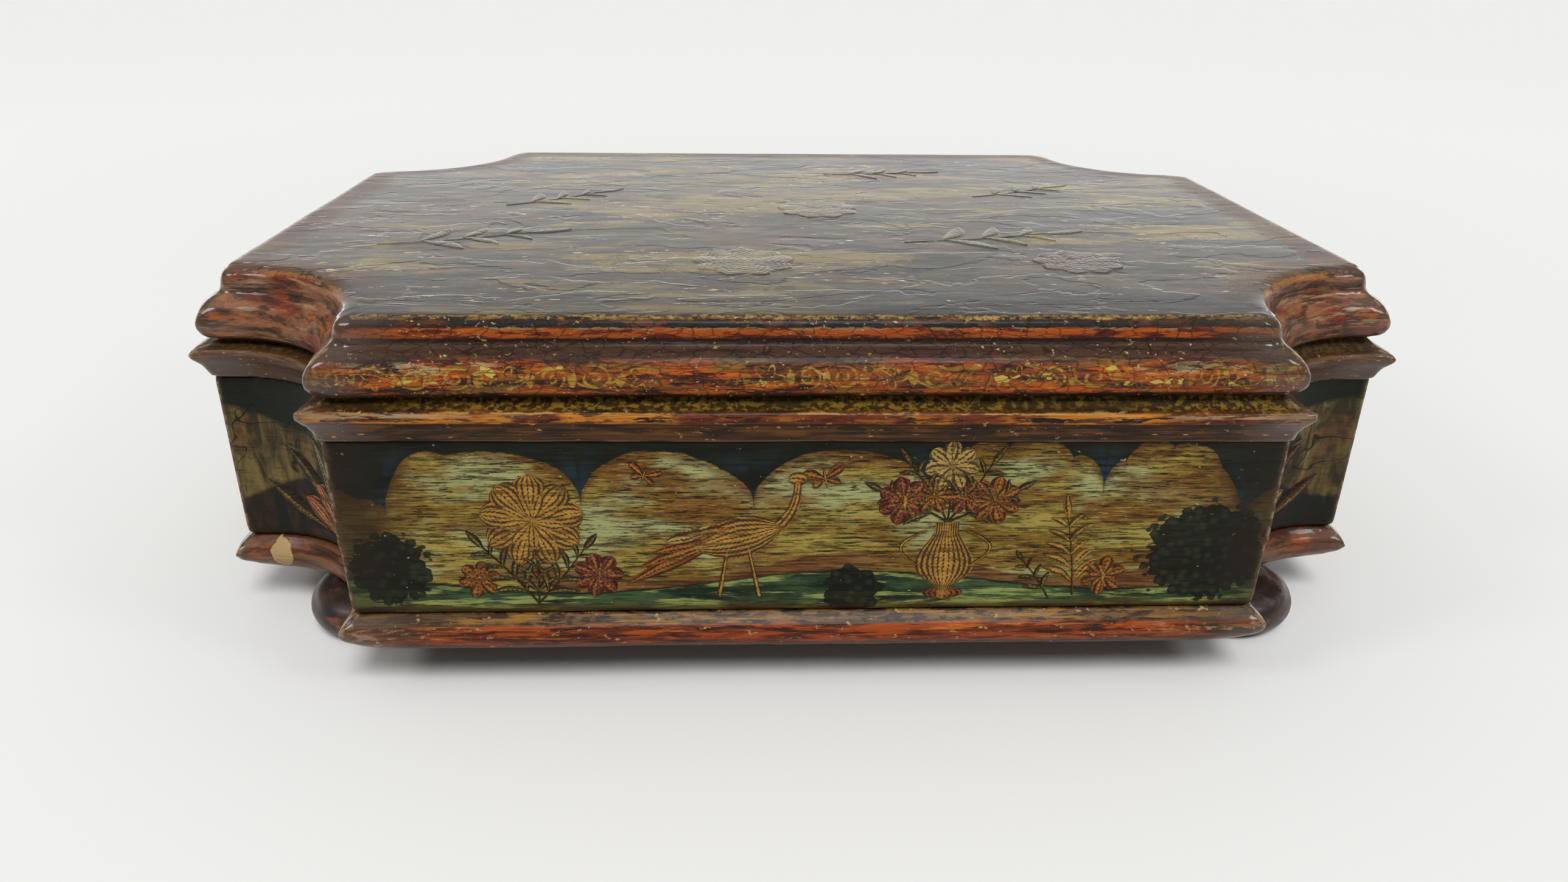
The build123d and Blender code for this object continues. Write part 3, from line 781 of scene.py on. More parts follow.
def lid_ground(paint):
    """The lid's streaks of taupe, olive and mauve: their colour, roughness and relief."""
    paint.read_plan()
    drift = paint.smooth(paint.cloudy((95, 30, 20), 1, 3, 0.5, 0.6), 0.35, 0.65)
    fine = paint.cloudy((26, 0.9, 3), 7, 3)
    edges = paint.cloudy((34, 17, 12), 6, 4, 0.55, 0.5)
    khaki = paint.patches((64, 20, 10), 2, 0.5, 0.02, 6, 0.68, 0.5)
    khaki = khaki * paint.patches((70, 44, 30), 20, 0.55, 0.08, 3)
    dusk = paint.patches((60, 15, 10), 4, 0.44, 0.02, 6, 0.68, 0.4)
    dusk = dusk * paint.patches((80, 40, 30), 47, 0.55, 0.08, 3)
    front = paint.smooth(paint.y, -74, -98)
    border = paint.smooth(paint.offset + paint.cloudy((30, 9, 9), 5, 4) * 9, -9, -2)
    flecks = paint.patches((4.5, 1.4, 2), 8, 0.03, 0.01, 3) * paint.patches((30, 12, 8), 9, 0.4)
    ragged = paint.offset + paint.cloudy((9, 9, 4), 11, 5, 0.7) * 3.6 - 1.8
    speckle = paint.patches((1.3, 1.3, 1.3), 12, 0.5, 0.05, 3)
    gilt = paint.mix((54, 40, 24), (150, 114, 56), speckle)
    tufts = paint.smooth(abs(paint.cloudy((4, 10, 5), 16, 2, 0.5, 1.2) - 0.5), 0.04, 0.015)
    base = paint.coats(
        paint.mix((52, 45, 37), (80, 71, 54), drift),
        ((100, 60, 46), paint.patches((36, 12, 10), 3, 0.3, 0.03, 6, 0.66, 0.4) * 0.6),
        ((136, 116, 56), khaki * 0.78),
        ((42, 50, 44), dusk * 0.72),
        ((88, 90, 60), paint.patches((24, 7, 8), 19, 0.18, 0.02, 6, 0.7) * 0.7),
        ((36, 42, 32), tufts * paint.patches((26, 14, 10), 17, 0.3, 0.03) * 0.75),
        ((38, 40, 40), front * (0.25 + 0.55 * paint.patches((90, 9, 10), 18, 0.6, 0.06))),
        ((92, 50, 36), border * (1 - front) * 0.55),
        ((24, 20, 17), paint.within(edges, 0.49, 0.505, 0.004) * 0.8),
        ((34, 28, 22), paint.smooth(fine, 0.54, 0.64) * 0.4),
        ((150, 136, 96), paint.smooth(fine, 0.4, 0.3) * 0.15),
        ((196, 180, 138), flecks),
        (gilt, paint.smooth(ragged, -1.3, -0.4) * (1 - paint.scooped) * 0.9),
        ((18, 14, 12), paint.scar((141, 79.5, 97), (4, 2.5, 3), 15)),
    )
    cracks = paint.smooth(paint.cells((5, 2.2, 3), 13, "DISTANCE_TO_EDGE"), 0.03, 0.0)
    step = paint.smooth(edges, 0.485, 0.515) * 0.07 + khaki * 0.008
    height = step + fine * 0.008 - cracks * 0.012 + paint.cloudy((26, 14, 5), 14, 2) * 0.16
    return base, 0.24 + 0.1 * fine + 0.06 * border, height


def lid_top_finish():
    """The lid's painted top, veiled by old varnish."""
    paint = Paint("lid_top_paint", {"Specular IOR Level": 0.5})
    return paint.finish(*lid_ground(paint))


def worn_gilding(paint):
    """What is left of the gilt scrolls on the lid's bead, and of the flakes among them."""
    scrolls = scrollwork(paint, paint.level - 5.2 - paint.ragged, 45)
    kept = paint.patches((4, 4, 1.6), 25, 0.6, 0.05, 5, 0.7) * paint.patches((46, 46, 60), 26, 0.7, 0.06, 2)
    flakes = paint.patches((4.5, 4.5, 2.0), 27, 0.07, 0.01, 2, 0.45)
    flakes = flakes * paint.patches((34, 34, 8), 28, 0.5, 0.02, 2) * paint.within(paint.level, 3, 8.6, 0.4)
    return scrolls * kept * paint.within(paint.level, 2.0, 9.4, 0.5), flakes


def lid_scoops(paint, speckle):
    """The lid's moulding in the scoops: rubbed pinkish brown with traces of red and gilt."""
    sweep = paint.cloudy((20, 20, 2.4), 40, 5, 0.7, 0.5)
    return paint.coats(
        paint.mix((66, 47, 41), (164, 114, 92), paint.smooth(sweep, 0.4, 0.6)),
        ((140, 52, 40), paint.patches((16, 16, 8), 41, 0.26, 0.06, 4) * 0.7),
        ((186, 106, 56), paint.patches((12, 12, 5), 42, 0.14, 0.06, 5) * 0.8),
        ((196, 168, 148), paint.patches((16, 16, 1.3), 43, 0.14, 0.03, 5) * 0.6),
        ((44, 30, 26), paint.patches((9, 9, 2), 46, 0.3, 0.04, 5) * 0.7),
        ((176, 126, 50), paint.smooth(paint.level + sweep * 5 + speckle, 19.3, 20.2) * 0.7),
        # painted shade under the bead, at the foot of the lid's moulding in the scoops
        ((26, 14, 10), paint.smooth(paint.level, 1.6, 0.6) * 0.8),
    )


def lid_moulding_finish():
    """The lid's edge, cove and bead: tortoiseshell lacquer, worn gilding, and painted shade in the cove and
    under the bead.

    Its levels are millimetres over the lid's foot: the bead ends at 10.2 and the cove at 12.4.
    """
    paint = Moulding("lid_moulding_lacquer", LID_BOTTOM, 7, 23)
    level, ragged = paint.level, paint.ragged
    blotch = paint.cloudy((12, 12, 3), 21, 5, 0.65, 0.4)
    streak = paint.cloudy((18, 18, 0.7), 22, 4, 0.7)
    cracks = paint.smooth(paint.cells((5, 5, 1.8), 24, "DISTANCE_TO_EDGE"), 0.06, 0.01)
    gilding, flakes = worn_gilding(paint)
    chips = paint.patches((2.4, 2.4, 1.2), 29, 0.06, 0.02, 4, 0.7) * paint.patches((26, 26, 8), 30, 0.5)
    specks = paint.patches((1.2, 1.2, 0.8), 48, 0.01, 0.02, 3) * paint.patches((18, 18, 8), 49, 0.5)
    glow = paint.patches((22, 22, 3), 31, 0.6, 0.06, 5, 0.65) * paint.within(level + ragged, 1.2, 8.0, 0.9)
    dull = paint.patches((46, 46, 7), 50, 0.42, 0.05, 4) * paint.within(level, 2.4, 17, 0.8)
    # pale spots near the tips: partly wear, partly painted glints of light
    pale_wear_and_glints = paint.patches((8, 8, 1.4), 55, 0.36, 0.04, 5, 0.7) * paint.within(paint.mitre, 8, 42, 6)
    pale_wear_and_glints = pale_wear_and_glints * paint.within(level + ragged, 6.0, 8.6, 0.4)
    ovolo = paint.mix((104, 36, 16), (200, 96, 28), paint.patches((10, 10, 1.6), 32, 0.6, 0.05, 5))
    slate = paint.patches((12, 12, 2.4), 33, 0.55, 0.02, 5, 0.65)
    speckle = paint.patches((1.1, 1.1, 1.1), 34, 0.5, 0.06, 3)
    gilt = paint.mix(
        paint.mix((52, 38, 24), (158, 118, 50), paint.patches((6, 6, 3), 35, 0.6, 0.05, 5)),
        (214, 182, 112), speckle * paint.patches((12, 12, 6), 36, 0.45),
    )
    runs = paint.coats(
        paint.mix((66, 28, 15), (172, 76, 24), paint.smooth(blotch, 0.42, 0.58)),
        ((226, 112, 28), glow * 0.9),
        ((148, 114, 48), paint.patches((13, 13, 1.5), 37, 0.34, 0.04, 5, 0.65) * 0.8),
        ((30, 13, 9), paint.patches((11, 11, 1.6), 38, 0.34, 0.03, 5, 0.7) * 0.9),
        ((72, 54, 44), dull * 0.55),
        # painted shade: darker mauve-brown from the top of the bead up into the cove
        ((60, 40, 34), paint.smooth(level + streak * 3, 10.0, 11.2) * 0.8),
        ((204, 162, 68), gilding * 0.85),
        ((228, 204, 112), flakes * 0.95),
        ((206, 192, 168), pale_wear_and_glints * 0.7),
        # painted shade of the hollow cove, in mauve-brown
        ((84, 60, 52), paint.within(level, 9.7, 12.1, 0.4) * 0.85),
        ((34, 22, 18), paint.smooth(streak, 0.52, 0.62) * 0.6),
        ((38, 12, 7), paint.within(level + ragged * 0.6, 12.0, 13.0, 0.25) * 0.9),
        (ovolo, paint.within(level + ragged * 0.8, 13.0, 15.4, 0.25) * 0.95),
        ((34, 30, 32), paint.within(level + ragged, 15.2, 17.3, 0.2) * slate * 0.95),
        ((170, 152, 128), paint.within(level + ragged * 2.4, 15.05, 15.4, 0.12) * slate * 0.7),
        (gilt, paint.smooth(level + ragged * 1.5, 16.9, 17.3) * 0.92),
        # painted shade under the bead, at the foot of the lid's moulding
        ((24, 9, 6), paint.smooth(level + ragged, 1.9, 0.7) * 0.9),
        ((26, 14, 10), cracks * 0.6),
        # painted sheen: a greyish-mauve veil of reflected light towards the tips
        ((84, 66, 58), paint.painted_tip_sheen((20, 20, 5), 39, 5, 44, 22) * 0.6),
        ((216, 196, 152), paint.greatest(chips, specks) * 0.9),
    )
    base = paint.mix(runs, lid_scoops(paint, speckle), paint.smooth(paint.mitre, 0.0, -1.5))
    base = rub_arris(paint, base, 4, 44)
    relief = blotch * 0.5 + streak * 0.2 - chips * 0.15 + gilding * 0.08 + flakes * 0.12 - slate * 0.1
    relief = relief - cracks * 0.06
    rough = 0.28 + 0.2 * streak + 0.12 * slate
    return paint.finish(paint.varnish(base), rough, relief, paint.tip_gloss())


def under_lid_finish():
    """Bare wood inside, browned with age, with the grain along the box."""
    paint = Paint("aged_bare_wood", {"Specular IOR Level": 0.3})
    rings = paint.cloudy((120, 5, 5), 51, 4, 0.55, 0.8)
    fibre = paint.cloudy((22, 0.5, 0.8), 52, 4)
    base = paint.coats(
        paint.mix((92, 62, 38), (142, 104, 66), paint.smooth(rings, 0.3, 0.7)),
        ((62, 40, 24), paint.smooth(fibre, 0.52, 0.7) * 0.5),
        ((74, 50, 34), paint.patches((26, 20, 20), 53, 0.3, 0.08) * 0.5),
    )
    return paint.finish(base, 0.62 + 0.15 * fibre, fibre * 0.12 + rings * 0.15)


def rim_finish():
    """The rim: olive speckled ledge, broken pale arris, amber bead, brown band with fine lines.

    Its levels are millimetres over its foot, where it hangs: the band ends at 5.2 and the bead at 8.3.
    """
    paint = Moulding("rim_lacquer", WALL_TOP - RIM_HANG, 6, 63)
    level, ragged = paint.level + paint.x * (RIM_HANG_GAIN / HALF_LENGTH), paint.ragged
    blotch = paint.cloudy((14, 14, 2.4), 61, 5, 0.65, 0.3)
    lines = paint.cloudy((30, 30, 0.55), 62, 4, 0.7)
    on_ledge = paint.smooth(level + ragged * 0.3, 8.3, 8.6)
    amber = paint.mix((130, 56, 22), (228, 148, 48), paint.patches((28, 28, 8), 64, 0.5, 0.06, 3))
    amber = paint.mix(amber, (48, 22, 14), paint.patches((9, 9, 1.2), 65, 0.4, 0.04, 5, 0.7) * 0.85)
    speckle = paint.patches((1.6, 1.6, 1.6), 66, 0.45, 0.06, 3)
    olive = paint.mix((66, 48, 20), (150, 120, 48), speckle * paint.patches((20, 12, 9), 67, 0.7, 0.1))
    olive = paint.mix(olive, (34, 24, 14), paint.smooth(paint.offset + ragged, 8.0, 8.6) * 0.7)
    pale = paint.within(level + ragged * 1.1, 7.9, 8.3, 0.12)
    pale = pale * paint.patches((9, 9, 4), 68, 0.5, 0.04, 5, 0.7)
    scuffs = paint.within(level + ragged * 1.4, 5.9, 7.4, 0.2) * paint.patches((7, 7, 1), 73, 0.3)
    # pale spots near the rim's tips: partly wear, partly painted glints of light
    pale_wear_and_glints = paint.within(level + ragged, 7.0, 8.0, 0.2) * paint.smooth(paint.mitre, 62, 14)
    pale_wear_and_glints = pale_wear_and_glints * paint.patches((10, 10, 1), 74, 0.5, 0.04, 5, 0.7)
    chips = paint.patches((2.6, 2.6, 1.0), 69, 0.06, 0.02, 4)
    base = paint.coats(
        paint.mix((54, 34, 20), (126, 78, 36), paint.smooth(blotch, 0.4, 0.6)),
        ((50, 36, 24), paint.smooth(level + ragged, 2.6, 1.4) * 0.55),
        (amber, paint.within(level + ragged * 0.5, 5.5, 8.2, 0.25)),
        ((26, 17, 11), paint.smooth(lines, 0.5, 0.6) * 0.75),
        ((164, 112, 60), paint.smooth(lines, 0.4, 0.32) * 0.4),
        ((44, 13, 8), paint.within(level + ragged * 0.7, 5.0, 5.5, 0.2) * 0.85),
        (amber, paint.within(level + ragged * 0.5, 6.0, 7.8, 0.4) * 0.55),
        ((30, 16, 10), scuffs),
        ((206, 188, 168), pale_wear_and_glints * 0.75),
        ((206, 162, 106), pale * 0.9),
        ((150, 116, 80), paint.smooth(level, 0.7, 0.3) * paint.patches((24, 24, 6), 70, 0.5, 0.08) * 0.7),
        # painted sheen: a greyish-mauve veil of reflected light towards the tips
        ((84, 62, 52), paint.painted_tip_sheen((18, 18, 5), 71, 5, 44, 22) * 0.5),
        ((90, 64, 52), paint.smooth(paint.mitre, 0, -2) * 0.6),
        (paint.mix(olive, (64, 50, 38), paint.scooped * 0.75), on_ledge),
        ((206, 176, 132), chips * (1 - on_ledge) * 0.85),
    )
    base = rub_arris(paint, base, 4, 72)
    inside = paint.smooth(paint.offset, -3.2, -3.7)
    base = paint.mix(base, (128, 92, 60), inside)
    height = blotch * 0.45 + lines * 0.2 - chips * 0.15 + pale * 0.1
    rough = 0.24 + 0.2 * lines + 0.25 * on_ledge + 0.3 * inside
    coat = paint.tip_gloss() * (1 - on_ledge) * (1 - inside)
    return paint.finish(paint.varnish(base), rough, height, coat)


def base_finish():
    """The base: a speckled brown neck with traces of gilding over a bead of orange-red lacquer.

    Its levels are millimetres over its underside: the bead ends at 7.7.
    """
    paint = Moulding("base_lacquer", BASE_BOTTOM, 7, 82)
    level, ragged = paint.level, paint.ragged
    blotch = paint.cloudy((16, 16, 2.4), 81, 5, 0.65, 0.4)
    lines = paint.cloudy((26, 26, 0.55), 83, 4, 0.7)
    gold = paint.patches((16, 16, 0.9), 84, 0.4, 0.04, 4) * paint.patches((40, 40, 10), 85, 0.6, 0.1)
    neck = paint.mix((50, 36, 24), (128, 98, 64), paint.patches((3.4, 3.4, 0.9), 86, 0.5, 0.06, 4))
    neck = paint.mix(neck, (176, 132, 54), gold * 0.85)
    chips = paint.patches((2.8, 2.8, 1.4), 87, 0.06, 0.02, 4)
    # pale spots near the base's tips: partly wear, partly painted glints of light
    pale_wear_and_glints = paint.patches((6, 6, 1.2), 95, 0.3, 0.04, 5, 0.7) * paint.smooth(paint.mitre, 52, 16)
    pale_wear_and_glints = pale_wear_and_glints * paint.within(level + ragged, 3.6, 6.8, 0.5)
    runs = paint.coats(
        paint.mix((96, 38, 20), (184, 84, 26), paint.smooth(blotch, 0.38, 0.56)),
        ((226, 130, 46), paint.patches((22, 22, 1.4), 88, 0.2, 0.04, 4) * 0.75),
        ((38, 17, 12), paint.patches((15, 15, 1.3), 89, 0.32, 0.04, 5, 0.7) * 0.9),
        ((78, 60, 50), paint.smooth(level + ragged * 1.6, 2.4, 1.7) * 0.75),
        (neck, paint.smooth(level + ragged, 7.0, 7.5) * 0.95),
        ((30, 18, 12), paint.smooth(lines, 0.52, 0.62) * 0.7),
        # painted sheen: a greyish-mauve veil of reflected light towards the tips
        ((80, 62, 52), paint.painted_tip_sheen((22, 22, 6), 90, 4, 54, 30) * 0.65),
        ((206, 172, 124), chips * 0.85),
        ((202, 178, 154), pale_wear_and_glints * 0.55),
    )
    glow = paint.patches((15, 15, 7), 91, 0.45, 0.06, 4) * paint.smooth(paint.mitre, -22, -6)
    scoops = paint.coats(
        paint.mix((70, 48, 38), (146, 98, 72), paint.smooth(blotch, 0.38, 0.6)),
        ((200, 100, 42), glow * 0.7),
        ((92, 40, 28), paint.patches((10, 10, 3), 92, 0.35, 0.05) * 0.7),
        ((42, 28, 22), paint.smooth(level + ragged, 8.2, 9.4) * 0.6),
    )
    worn_tip, worn_size = (-145.2, -76.3, 17.6), (3.4, 6, 4.6)
    bare = paint.scar(worn_tip, worn_size, 93)
    base = paint.mix(runs, scoops, paint.smooth(paint.mitre, 0, -2))
    base = rub_arris(paint, base, 5, 94)
    base = paint.mix(base, paint.mix((176, 146, 116), (232, 206, 176), blotch), bare)
    height = blotch * 0.5 + lines * 0.2 - chips * 0.15 - bare * 0.6
    rough = 0.28 + 0.2 * lines + 0.15 * bare
    return paint.finish(paint.varnish(base), rough, height, paint.tip_gloss() * (1 - bare))


def cloud_top(paint):
    """The height of the clouds' scalloped tops, in millimetres, and how near it is to a dome's top."""
    lowest, dome_width, dome_height, bump_width, bump_height, end_drop = 30.5, 41, 14, 14.3, 3.2, 8
    sway = paint.cloudy((52, 52, 400), 101, 1) * 26
    shapes = []
    for width in (dome_width, bump_width):
        share = paint.math("FRACT", (paint.along + sway) * (1 / width) + paint.phase)
        from_middle = share * 2 - 1
        shapes.append(paint.math("SQRT", 1 - from_middle * from_middle))
    dome, bumps = shapes
    fluffy = paint.smooth(paint.cloudy((38, 38, 400), 102, 1), 0.45, 0.58)
    top = lowest + dome * dome_height + bumps * fluffy * bump_height
    return top - paint.smooth(paint.to_end, 14, 0) * end_drop, dome


def sky_and_clouds(paint):
    """A dark sky behind scalloped clouds, brushed in streaks and dashes."""
    ragged, streak, dashes, wash = paint.ragged, paint.streak, paint.dashes, paint.wash
    top, dome = cloud_top(paint)
    inside = top - paint.up + ragged * 1.6
    notch =paint.smooth(dome, 0.75, 0.2) * paint.smooth(inside, -9, -1) * paint.smooth(wash, 0.35, 0.55)
    sky = paint.coats(
        paint.mix((22, 27, 23), (38, 46, 38), paint.smooth(wash, 0.4, 0.7)),
        ((38, 66, 96), notch * 0.9),
        ((16, 15, 11), paint.smooth(streak, 0.5, 0.6) * 0.75),
    )
    cloud = paint.coats(
        paint.mix((142, 114, 48), (186, 174, 98), paint.smooth(wash, 0.38, 0.6)),
        ((190, 206, 170), paint.patches((34, 34, 14), 119, 0.32, 0.06, 3) * 0.8),
        ((138, 88, 38), paint.patches((26, 26, 8), 107, 0.34, 0.06) * 0.7),
        ((110, 70, 30), paint.smooth(inside + ragged * 5, 4.5, 0.3) * 0.75),
        ((82, 60, 26), paint.smooth(streak, 0.5, 0.57) * 0.8),
        ((34, 24, 12), paint.smooth(dashes, 0.54, 0.6) * 0.9),
        ((222, 214, 150), paint.smooth(dashes, 0.41, 0.34) * 0.5),
        ((92, 62, 34), paint.smooth(paint.to_end + ragged * 14, 17, 6) * 0.7),
    )
    return paint.mix(sky, cloud, paint.smooth(inside, -0.1, 0.35))


def lay_ground(paint, base):
    """Rose hills and green turf along the foot of a wall, over the base."""
    up, phase, wash = paint.up, paint.phase, paint.wash
    ragged, streak, dashes = paint.ragged, paint.streak, paint.dashes
    far = 13 + paint.math("SINE", paint.along * 0.062 + phase * 9) * 4 + ragged * 1.5
    hill = paint.within(up - far, -5.5, 0, 0.35) * paint.patches((60, 60, 400), 108, 0.62, 0.05, 1)
    rose = paint.mix((80, 42, 26), (140, 92, 62), paint.smooth(streak, 0.58, 0.42))
    near = 8.6 + paint.math("SINE", paint.along * 0.047 + phase * 14) * 2.8 + ragged * 1.2
    turf = paint.coats(
        paint.mix((28, 48, 42), (74, 104, 78), paint.smooth(wash, 0.4, 0.6)),
        ((180, 200, 132), paint.patches((20, 20, 2.4), 109, 0.4, 0.04, 4) * 0.75),
        ((128, 104, 50), paint.smooth(up + ragged * 3, 3.4, 1.4) * 0.5),
        ((20, 30, 24), paint.smooth(streak, 0.53, 0.62) * 0.75),
        ((40, 34, 20), paint.smooth(dashes, 0.57, 0.66) * 0.65),
    )
    return paint.coats(
        base,
        (rose, hill * 0.85),
        (turf, paint.smooth(up - near, 0.2, -0.2)),
        ((22, 22, 14), paint.within(up - near, -0.35, 0.25, 0.25) * 0.85),
    )


def plant_bushes(paint, base):
    """Leafy bushes at both ends of a wall, larger at one of them, and a small one near its middle."""
    leafy = paint.cells((2.6, 2.6, 2.4), 110)
    far_end = paint.math("GREATER_THAN", paint.along, 0.0)
    wide, high = 10 + far_end * 6, 10 + far_end * 3.5
    shapes = []
    for away, half_width, middle, half_height in (
        (paint.to_end - 6 + far_end * -4, wide, 13 + far_end * 3, high),
        (paint.along - 10.5, 7.5, 6, 7),
    ):
        stretch = paint.math("DIVIDE", away, half_width)
        rise = paint.math("DIVIDE", paint.up - middle, half_height)
        shapes.append(1 - paint.math("SQRT", stretch * stretch + rise * rise))
    bush = paint.smooth(paint.greatest(*shapes) + (0.5 - leafy) * 0.45 + paint.ragged * 0.5, 0.0, 0.05)
    green = paint.mix((17, 22, 18), (40, 52, 40), paint.smooth(leafy, 0.5, 0.15))
    splashes = paint.smooth(paint.cloudy((1.8, 1.8, 1.2), 112, 2), 0.728, 0.748)
    return paint.coats(base, (green, bush * 0.96), ((190, 184, 150), splashes))


def scoop_landscape(paint):
    """A scooped corner: olive brushwork under a dark sky, a dark mound at its foot, and fine cracks."""
    up, ragged, streak = paint.up, paint.ragged, paint.streak
    brush = paint.cloudy((5, 5, 17), 113, 4, 0.6, 0.8)
    swell = paint.math("SINE", paint.along * 0.09 + paint.phase * 20) * 3.5
    mound = paint.mix((34, 36, 38), (72, 52, 46), paint.smooth(brush, 0.46, 0.66))
    crack = abs(paint.cloudy((18, 18, 14), 114, 2, 0.5, 0.4) - 0.5)
    return paint.coats(
        paint.mix((62, 56, 42), (140, 126, 86), paint.smooth(brush, 0.38, 0.66)),
        ((128, 92, 70), paint.patches((10, 10, 10), 115, 0.3, 0.08, 5, 0.7) * 0.6),
        ((52, 60, 48), paint.patches((5, 5, 7), 120, 0.26, 0.05, 5, 0.7) * 0.7),
        ((28, 36, 30), paint.smooth(up - swell + ragged * 2, 35.5, 38)),
        (mound, paint.smooth(up + swell * 1.3 + ragged, 15.5, 14)),
        ((30, 20, 14), paint.smooth(crack, 0.008, 0.002) * paint.smooth(up, 15, 20) * 0.9),
        ((36, 26, 16), paint.smooth(streak, 0.54, 0.64) * 0.5),
    )


def wall_finish():
    """The painted walls: scalloped clouds in a dark sky over hills, ground and bushes."""
    constants = {"Specular IOR Level": 0.1, "Coat Roughness": 0.15, "Coat Weight": 0.06}
    paint = Paint("painted_landscape", constants)
    paint.read_wall()
    ragged, streak = paint.ragged, paint.streak
    base = plant_bushes(paint, lay_ground(paint, sky_and_clouds(paint)))
    base = paint.coats(
        base,
        (scoop_landscape(paint), paint.scooped),
        ((52, 36, 22), paint.smooth(paint.up + ragged, 2.4, 1.2) * 0.6),
        # painted shade under the overhanging rim: darker along the top of the walls
        ((20, 17, 11), paint.smooth(paint.up, 43.5, 47) * 0.6),
        ((40, 34, 24), paint.smooth(paint.to_end + ragged * 8, 9, 1) * (1 - paint.scooped) * 0.7),
    )
    base = rub_arris(paint, base, 3, 116)
    fibre = paint.cloudy((22, 22, 0.8), 117, 4)
    wood = paint.mix((92, 62, 40), (154, 112, 72), fibre)
    base = paint.mix(base, wood, paint.smooth(paint.offset, -3.2, -3.8))
    height = paint.cloudy((30, 30, 0.5), 118, 3) * 0.2 + ragged * 0.2 + streak * 0.2
    return paint.finish(paint.varnish(base), 0.3 + 0.2 * streak, height)


def print_finish():
    """Prints under varnish: each cut's tint, engraved with fine lines, worn, with a dark outline."""
    constants = {"Specular IOR Level": 0.12, "Coat Roughness": 0.15, "Coat Weight": 0.08}
    paint = Paint("pasted_prints", constants)
    paint.read_stroke()
    folds = paint.math("SINE", paint.stroke_across * 4.6 + paint.cloudy((6, 6, 6), 121, 2) * 6)
    lines = paint.math("SINE", (paint.stroke_along + abs(paint.stroke_across) * 0.8) * 5.6)
    mottle = paint.cloudy((2.2, 2.2, 1.2), 122, 4, 0.7)
    worn = paint.cloudy((7, 7, 1.2), 123, 5, 0.7)
    streak = paint.cloudy((13, 13, 0.8), 104, 5, 0.75)
    ink = paint.smooth(folds * 0.3 + lines * 0.1 + mottle * 0.9 + paint.side * 0.42, 0.56, 0.78)
    outline = paint.smooth((1 - paint.side) * paint.half_width, 0.5, 0.2)
    base = paint.coats(
        paint.tint,
        ((244, 198, 100), paint.smooth(paint.side + lines * 0.1 + mottle, 0.9, 0.4) * 0.35),
        ((40, 22, 11), paint.greatest(ink * 0.88, outline * 0.95)),
        ((84, 56, 26), paint.smooth(worn, 0.5, 0.62) * 0.7),
        ((36, 24, 12), paint.smooth(streak, 0.54, 0.62) * 0.6),
    )
    return paint.finish(paint.varnish(base), 0.32 + 0.15 * worn, ink * -0.06 + worn * 0.2)


def veiled_print_finish():
    """The lid's cut-outs, all but lost in its ground under old varnish."""
    paint = Paint("veiled_prints", {"Specular IOR Level": 0.5})
    paint.read_stroke()
    ground, rough, height = lid_ground(paint)
    mottle = paint.cloudy((5, 5, 5), 131, 4)
    veins = paint.math("SINE", (paint.stroke_along + abs(paint.stroke_across) * 0.9) * 3.2)
    outline = paint.smooth((1 - paint.side) * paint.half_width, 0.55, 0.2)
    base = paint.coats(
        ground,
        (paint.tint, 0.15 + 0.3 * mottle),
        ((38, 32, 24), paint.smooth(veins + mottle * 2, 1.5, 1.9) * 0.4),
        ((34, 27, 20), outline * paint.smooth(mottle, 0.4, 0.55) * 0.7),
    )
    return paint.finish(base, rough, height + veins * 0.02)


def foot_finish():
    """The feet: near-black lacquer, browned and rubbed grey."""
    paint = Paint("foot_lacquer", {"Coat Roughness": 0.25, "Coat Weight": 0.2, "Specular IOR Level": 0.3})
    wash = paint.cloudy((12, 12, 6), 141, 5)
    base = paint.coats(
        paint.mix((32, 22, 18), (66, 44, 34), paint.smooth(wash, 0.42, 0.7)),
        ((96, 82, 74), paint.patches((8, 8, 3), 142, 0.2, 0.06, 5) * 0.5),
        ((132, 66, 34), paint.patches((9, 9, 5), 143, 0.14, 0.05) * 0.6),
    )
    return paint.finish(base, 0.34 + 0.2 * wash, wash * 0.3)


def metal_finish(name, tones, metallic, seed):
    """Hinge brass or nail iron, tarnished in patches. tones are dark, bright and tarnish."""
    dark, bright, tarnish = tones
    paint = Paint(name, {"Metallic": metallic})
    dull = paint.cloudy((5, 5, 5), seed, 5)
    base = paint.mix(dark, bright, paint.smooth(dull, 0.4, 0.62))
    base = paint.mix(base, tarnish, paint.patches((3, 3, 3), seed + 1, 0.3, 0.06, 5) * 0.7)
    scratches = paint.cloudy((14, 0.4, 0.4), seed + 2, 2)
    return paint.finish(base, 0.34 + 0.3 * dull, dull * 0.1 + scratches * 0.03)


bare_wood = under_lid_finish()
brass = metal_finish("aged_brass", ((96, 72, 40), (170, 132, 72), (60, 58, 44)), 1.0, 151)
iron = metal_finish("nail_iron", ((40, 36, 34), (78, 70, 64), (84, 52, 36)), 0.8, 161)
prints = print_finish()

LID_MOULDING, LID_TOP, LID_BARE = range(3)


def lid_part(face):
    """Which of its finishes a face of the lid has: the moulding's, the top's or bare wood inside."""
    top, underside = BOX_TOP - 1.2 * MM, BOX_TOP - 4 * MM
    arris, inner_wall, inside = -0.2 * MM, -5.6 * MM, -6.6 * MM
    offset = plan(face.center)[0]
    if face.normal.z > 0.6 and face.center.z > top and offset < arris:
        return LID_TOP
    if offset < inside and face.center.z < underside:
        return LID_BARE
    if offset < inner_wall and abs(face.normal.z) < 0.7:
        return LID_BARE
    return LID_MOULDING


def dress(piece, *finishes):
    """Gives a piece its finishes, in the order of its slots."""
    piece.data.materials.clear()
    for finish in finishes:
        piece.data.materials.append(finish)


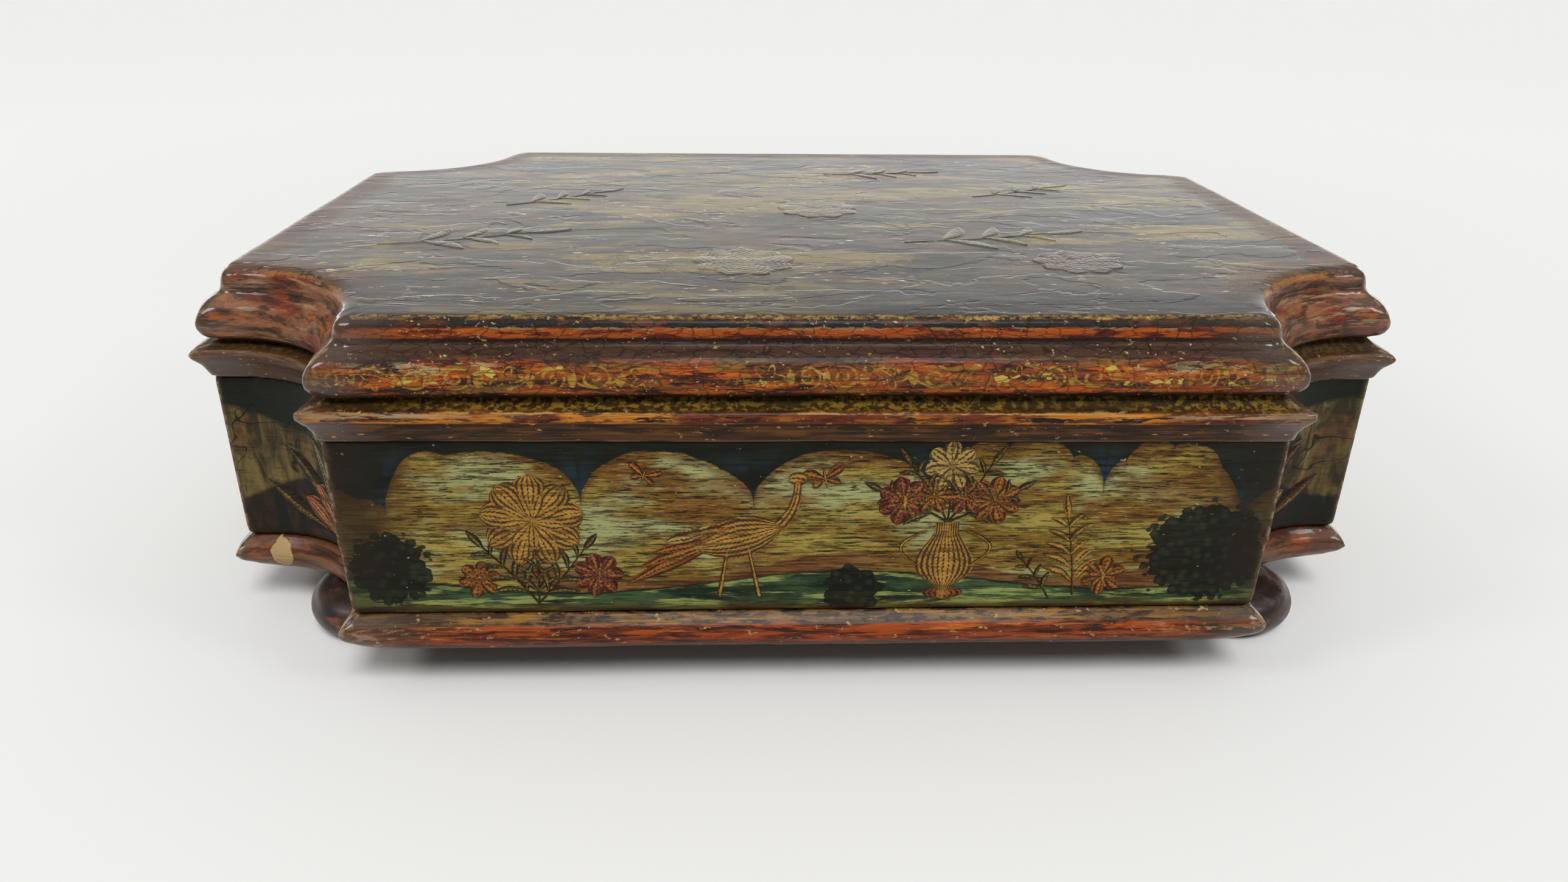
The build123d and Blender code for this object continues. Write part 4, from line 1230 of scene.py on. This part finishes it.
dress(lid, lid_moulding_finish(), lid_top_finish(), bare_wood)
for face in lid.data.polygons:
    face.material_index = lid_part(face)
dress(rim, rim_finish())
dress(walls, wall_finish())
dress(base, base_finish())
turned = foot_finish()
for foot in feet:
    dress(foot, turned)
for piece in cutouts:
    dress(piece, prints)
dress(lid_prints, veiled_print_finish())

for name, piece in NODES.items():
    dress(piece, iron if name.endswith("nails") else brass if "hinge" in name else bare_wood)


# Camera
CAMERA_PLACE = Vector((-16.90, -354.25, 174.12)) * MM
CAMERA_PITCH = math.radians(23.803)
CAMERA_HEADING = math.radians(-2.386)
CAMERA_ROLL = math.radians(0.718)
camera_data = bpy.data.cameras.new("camera")
camera_data.sensor_width = 36
camera_data.lens = 25.65
camera_data.clip_start = 0.01
camera = linked("camera", camera_data)
camera.matrix_world = (
    Matrix.Translation(CAMERA_PLACE)
    @ Matrix.Rotation(CAMERA_HEADING, 4, "Z")
    @ Matrix.Rotation(math.pi / 2 - CAMERA_PITCH, 4, "X")
    @ Matrix.Rotation(CAMERA_ROLL, 4, "Z")
)
bpy.context.scene.camera = camera


# Floor and light

def make_floor():
    """White paper, a little greyer near the box: painted shade that evens out the lamps' stronger light
    there.
    """
    shape = bmesh.new()
    bmesh.ops.create_grid(shape, x_segments=1, y_segments=1, size=6.0)
    floor = new_piece("floor", shape)
    paper = Paint("white_paper", {"Specular IOR Level": 0.2})
    away = paper.vector("LENGTH", {0: paper.place}, 1)
    # painted shade: greyer paper near the box, where the lamps light the floor more
    tone = paper.mix((228, 228, 226), (241, 241, 239), paper.smooth(away, 150, 1200))
    dress(floor, paper.finish(tone, 0.7, paper.cloudy((3, 3, 3), 171, 2) * 0.02))


def softbox(name, place, size, power):
    """A square softbox that faces the box."""
    box_middle = Vector((0, 0, 0.05))
    data = bpy.data.lights.new(name, "AREA")
    data.size = size
    data.energy = power
    light = linked(name, data)
    light.location = place
    light.rotation_euler = (box_middle - Vector(place)).to_track_quat("-Z", "Y").to_euler()


def make_world():
    """A white cove: bright overhead and low behind the box, dim in front of it."""
    world = bpy.data.worlds.new("studio")
    bpy.context.scene.world = world
    world.use_nodes = True
    backdrop = world.node_tree.nodes["Background"]
    backdrop.inputs["Color"].default_value = (1.0, 1.0, 1.0, 1.0)
    light = Mixer(world.node_tree)
    _, back, up = light.parts(light.node("ShaderNodeTexCoord", {}, {}, "Generated"))
    low_behind = light.smooth(back, -0.1, 0.5) * light.smooth(up, 0.25, 0.1)
    overhead = light.smooth(up, 0.55, 0.8)
    horizon = light.smooth(up, 0.1, 0.03)
    strength = 0.2 + 2.3 * low_behind + 0.5 * overhead + 0.6 * horizon
    world.node_tree.links.new(strength.socket, backdrop.inputs["Strength"])


def front_light():
    """A wide, far softbox above and behind the viewer."""
    towards_light = Vector((0.08, -0.56, 0.82))
    data = bpy.data.lights.new("front_light", "SUN")
    data.energy = 1.85
    data.angle = math.radians(24)
    linked("front_light", data).rotation_euler = towards_light.to_track_quat("Z", "Y").to_euler()


make_floor()
softbox("softbox_left", (-0.9, -0.45, 0.85), 0.28, 2.2)
softbox("softbox_right", (0.85, -0.55, 0.8), 0.24, 1.6)
front_light()
make_world()
bpy.context.scene.view_settings.view_transform = "Standard"
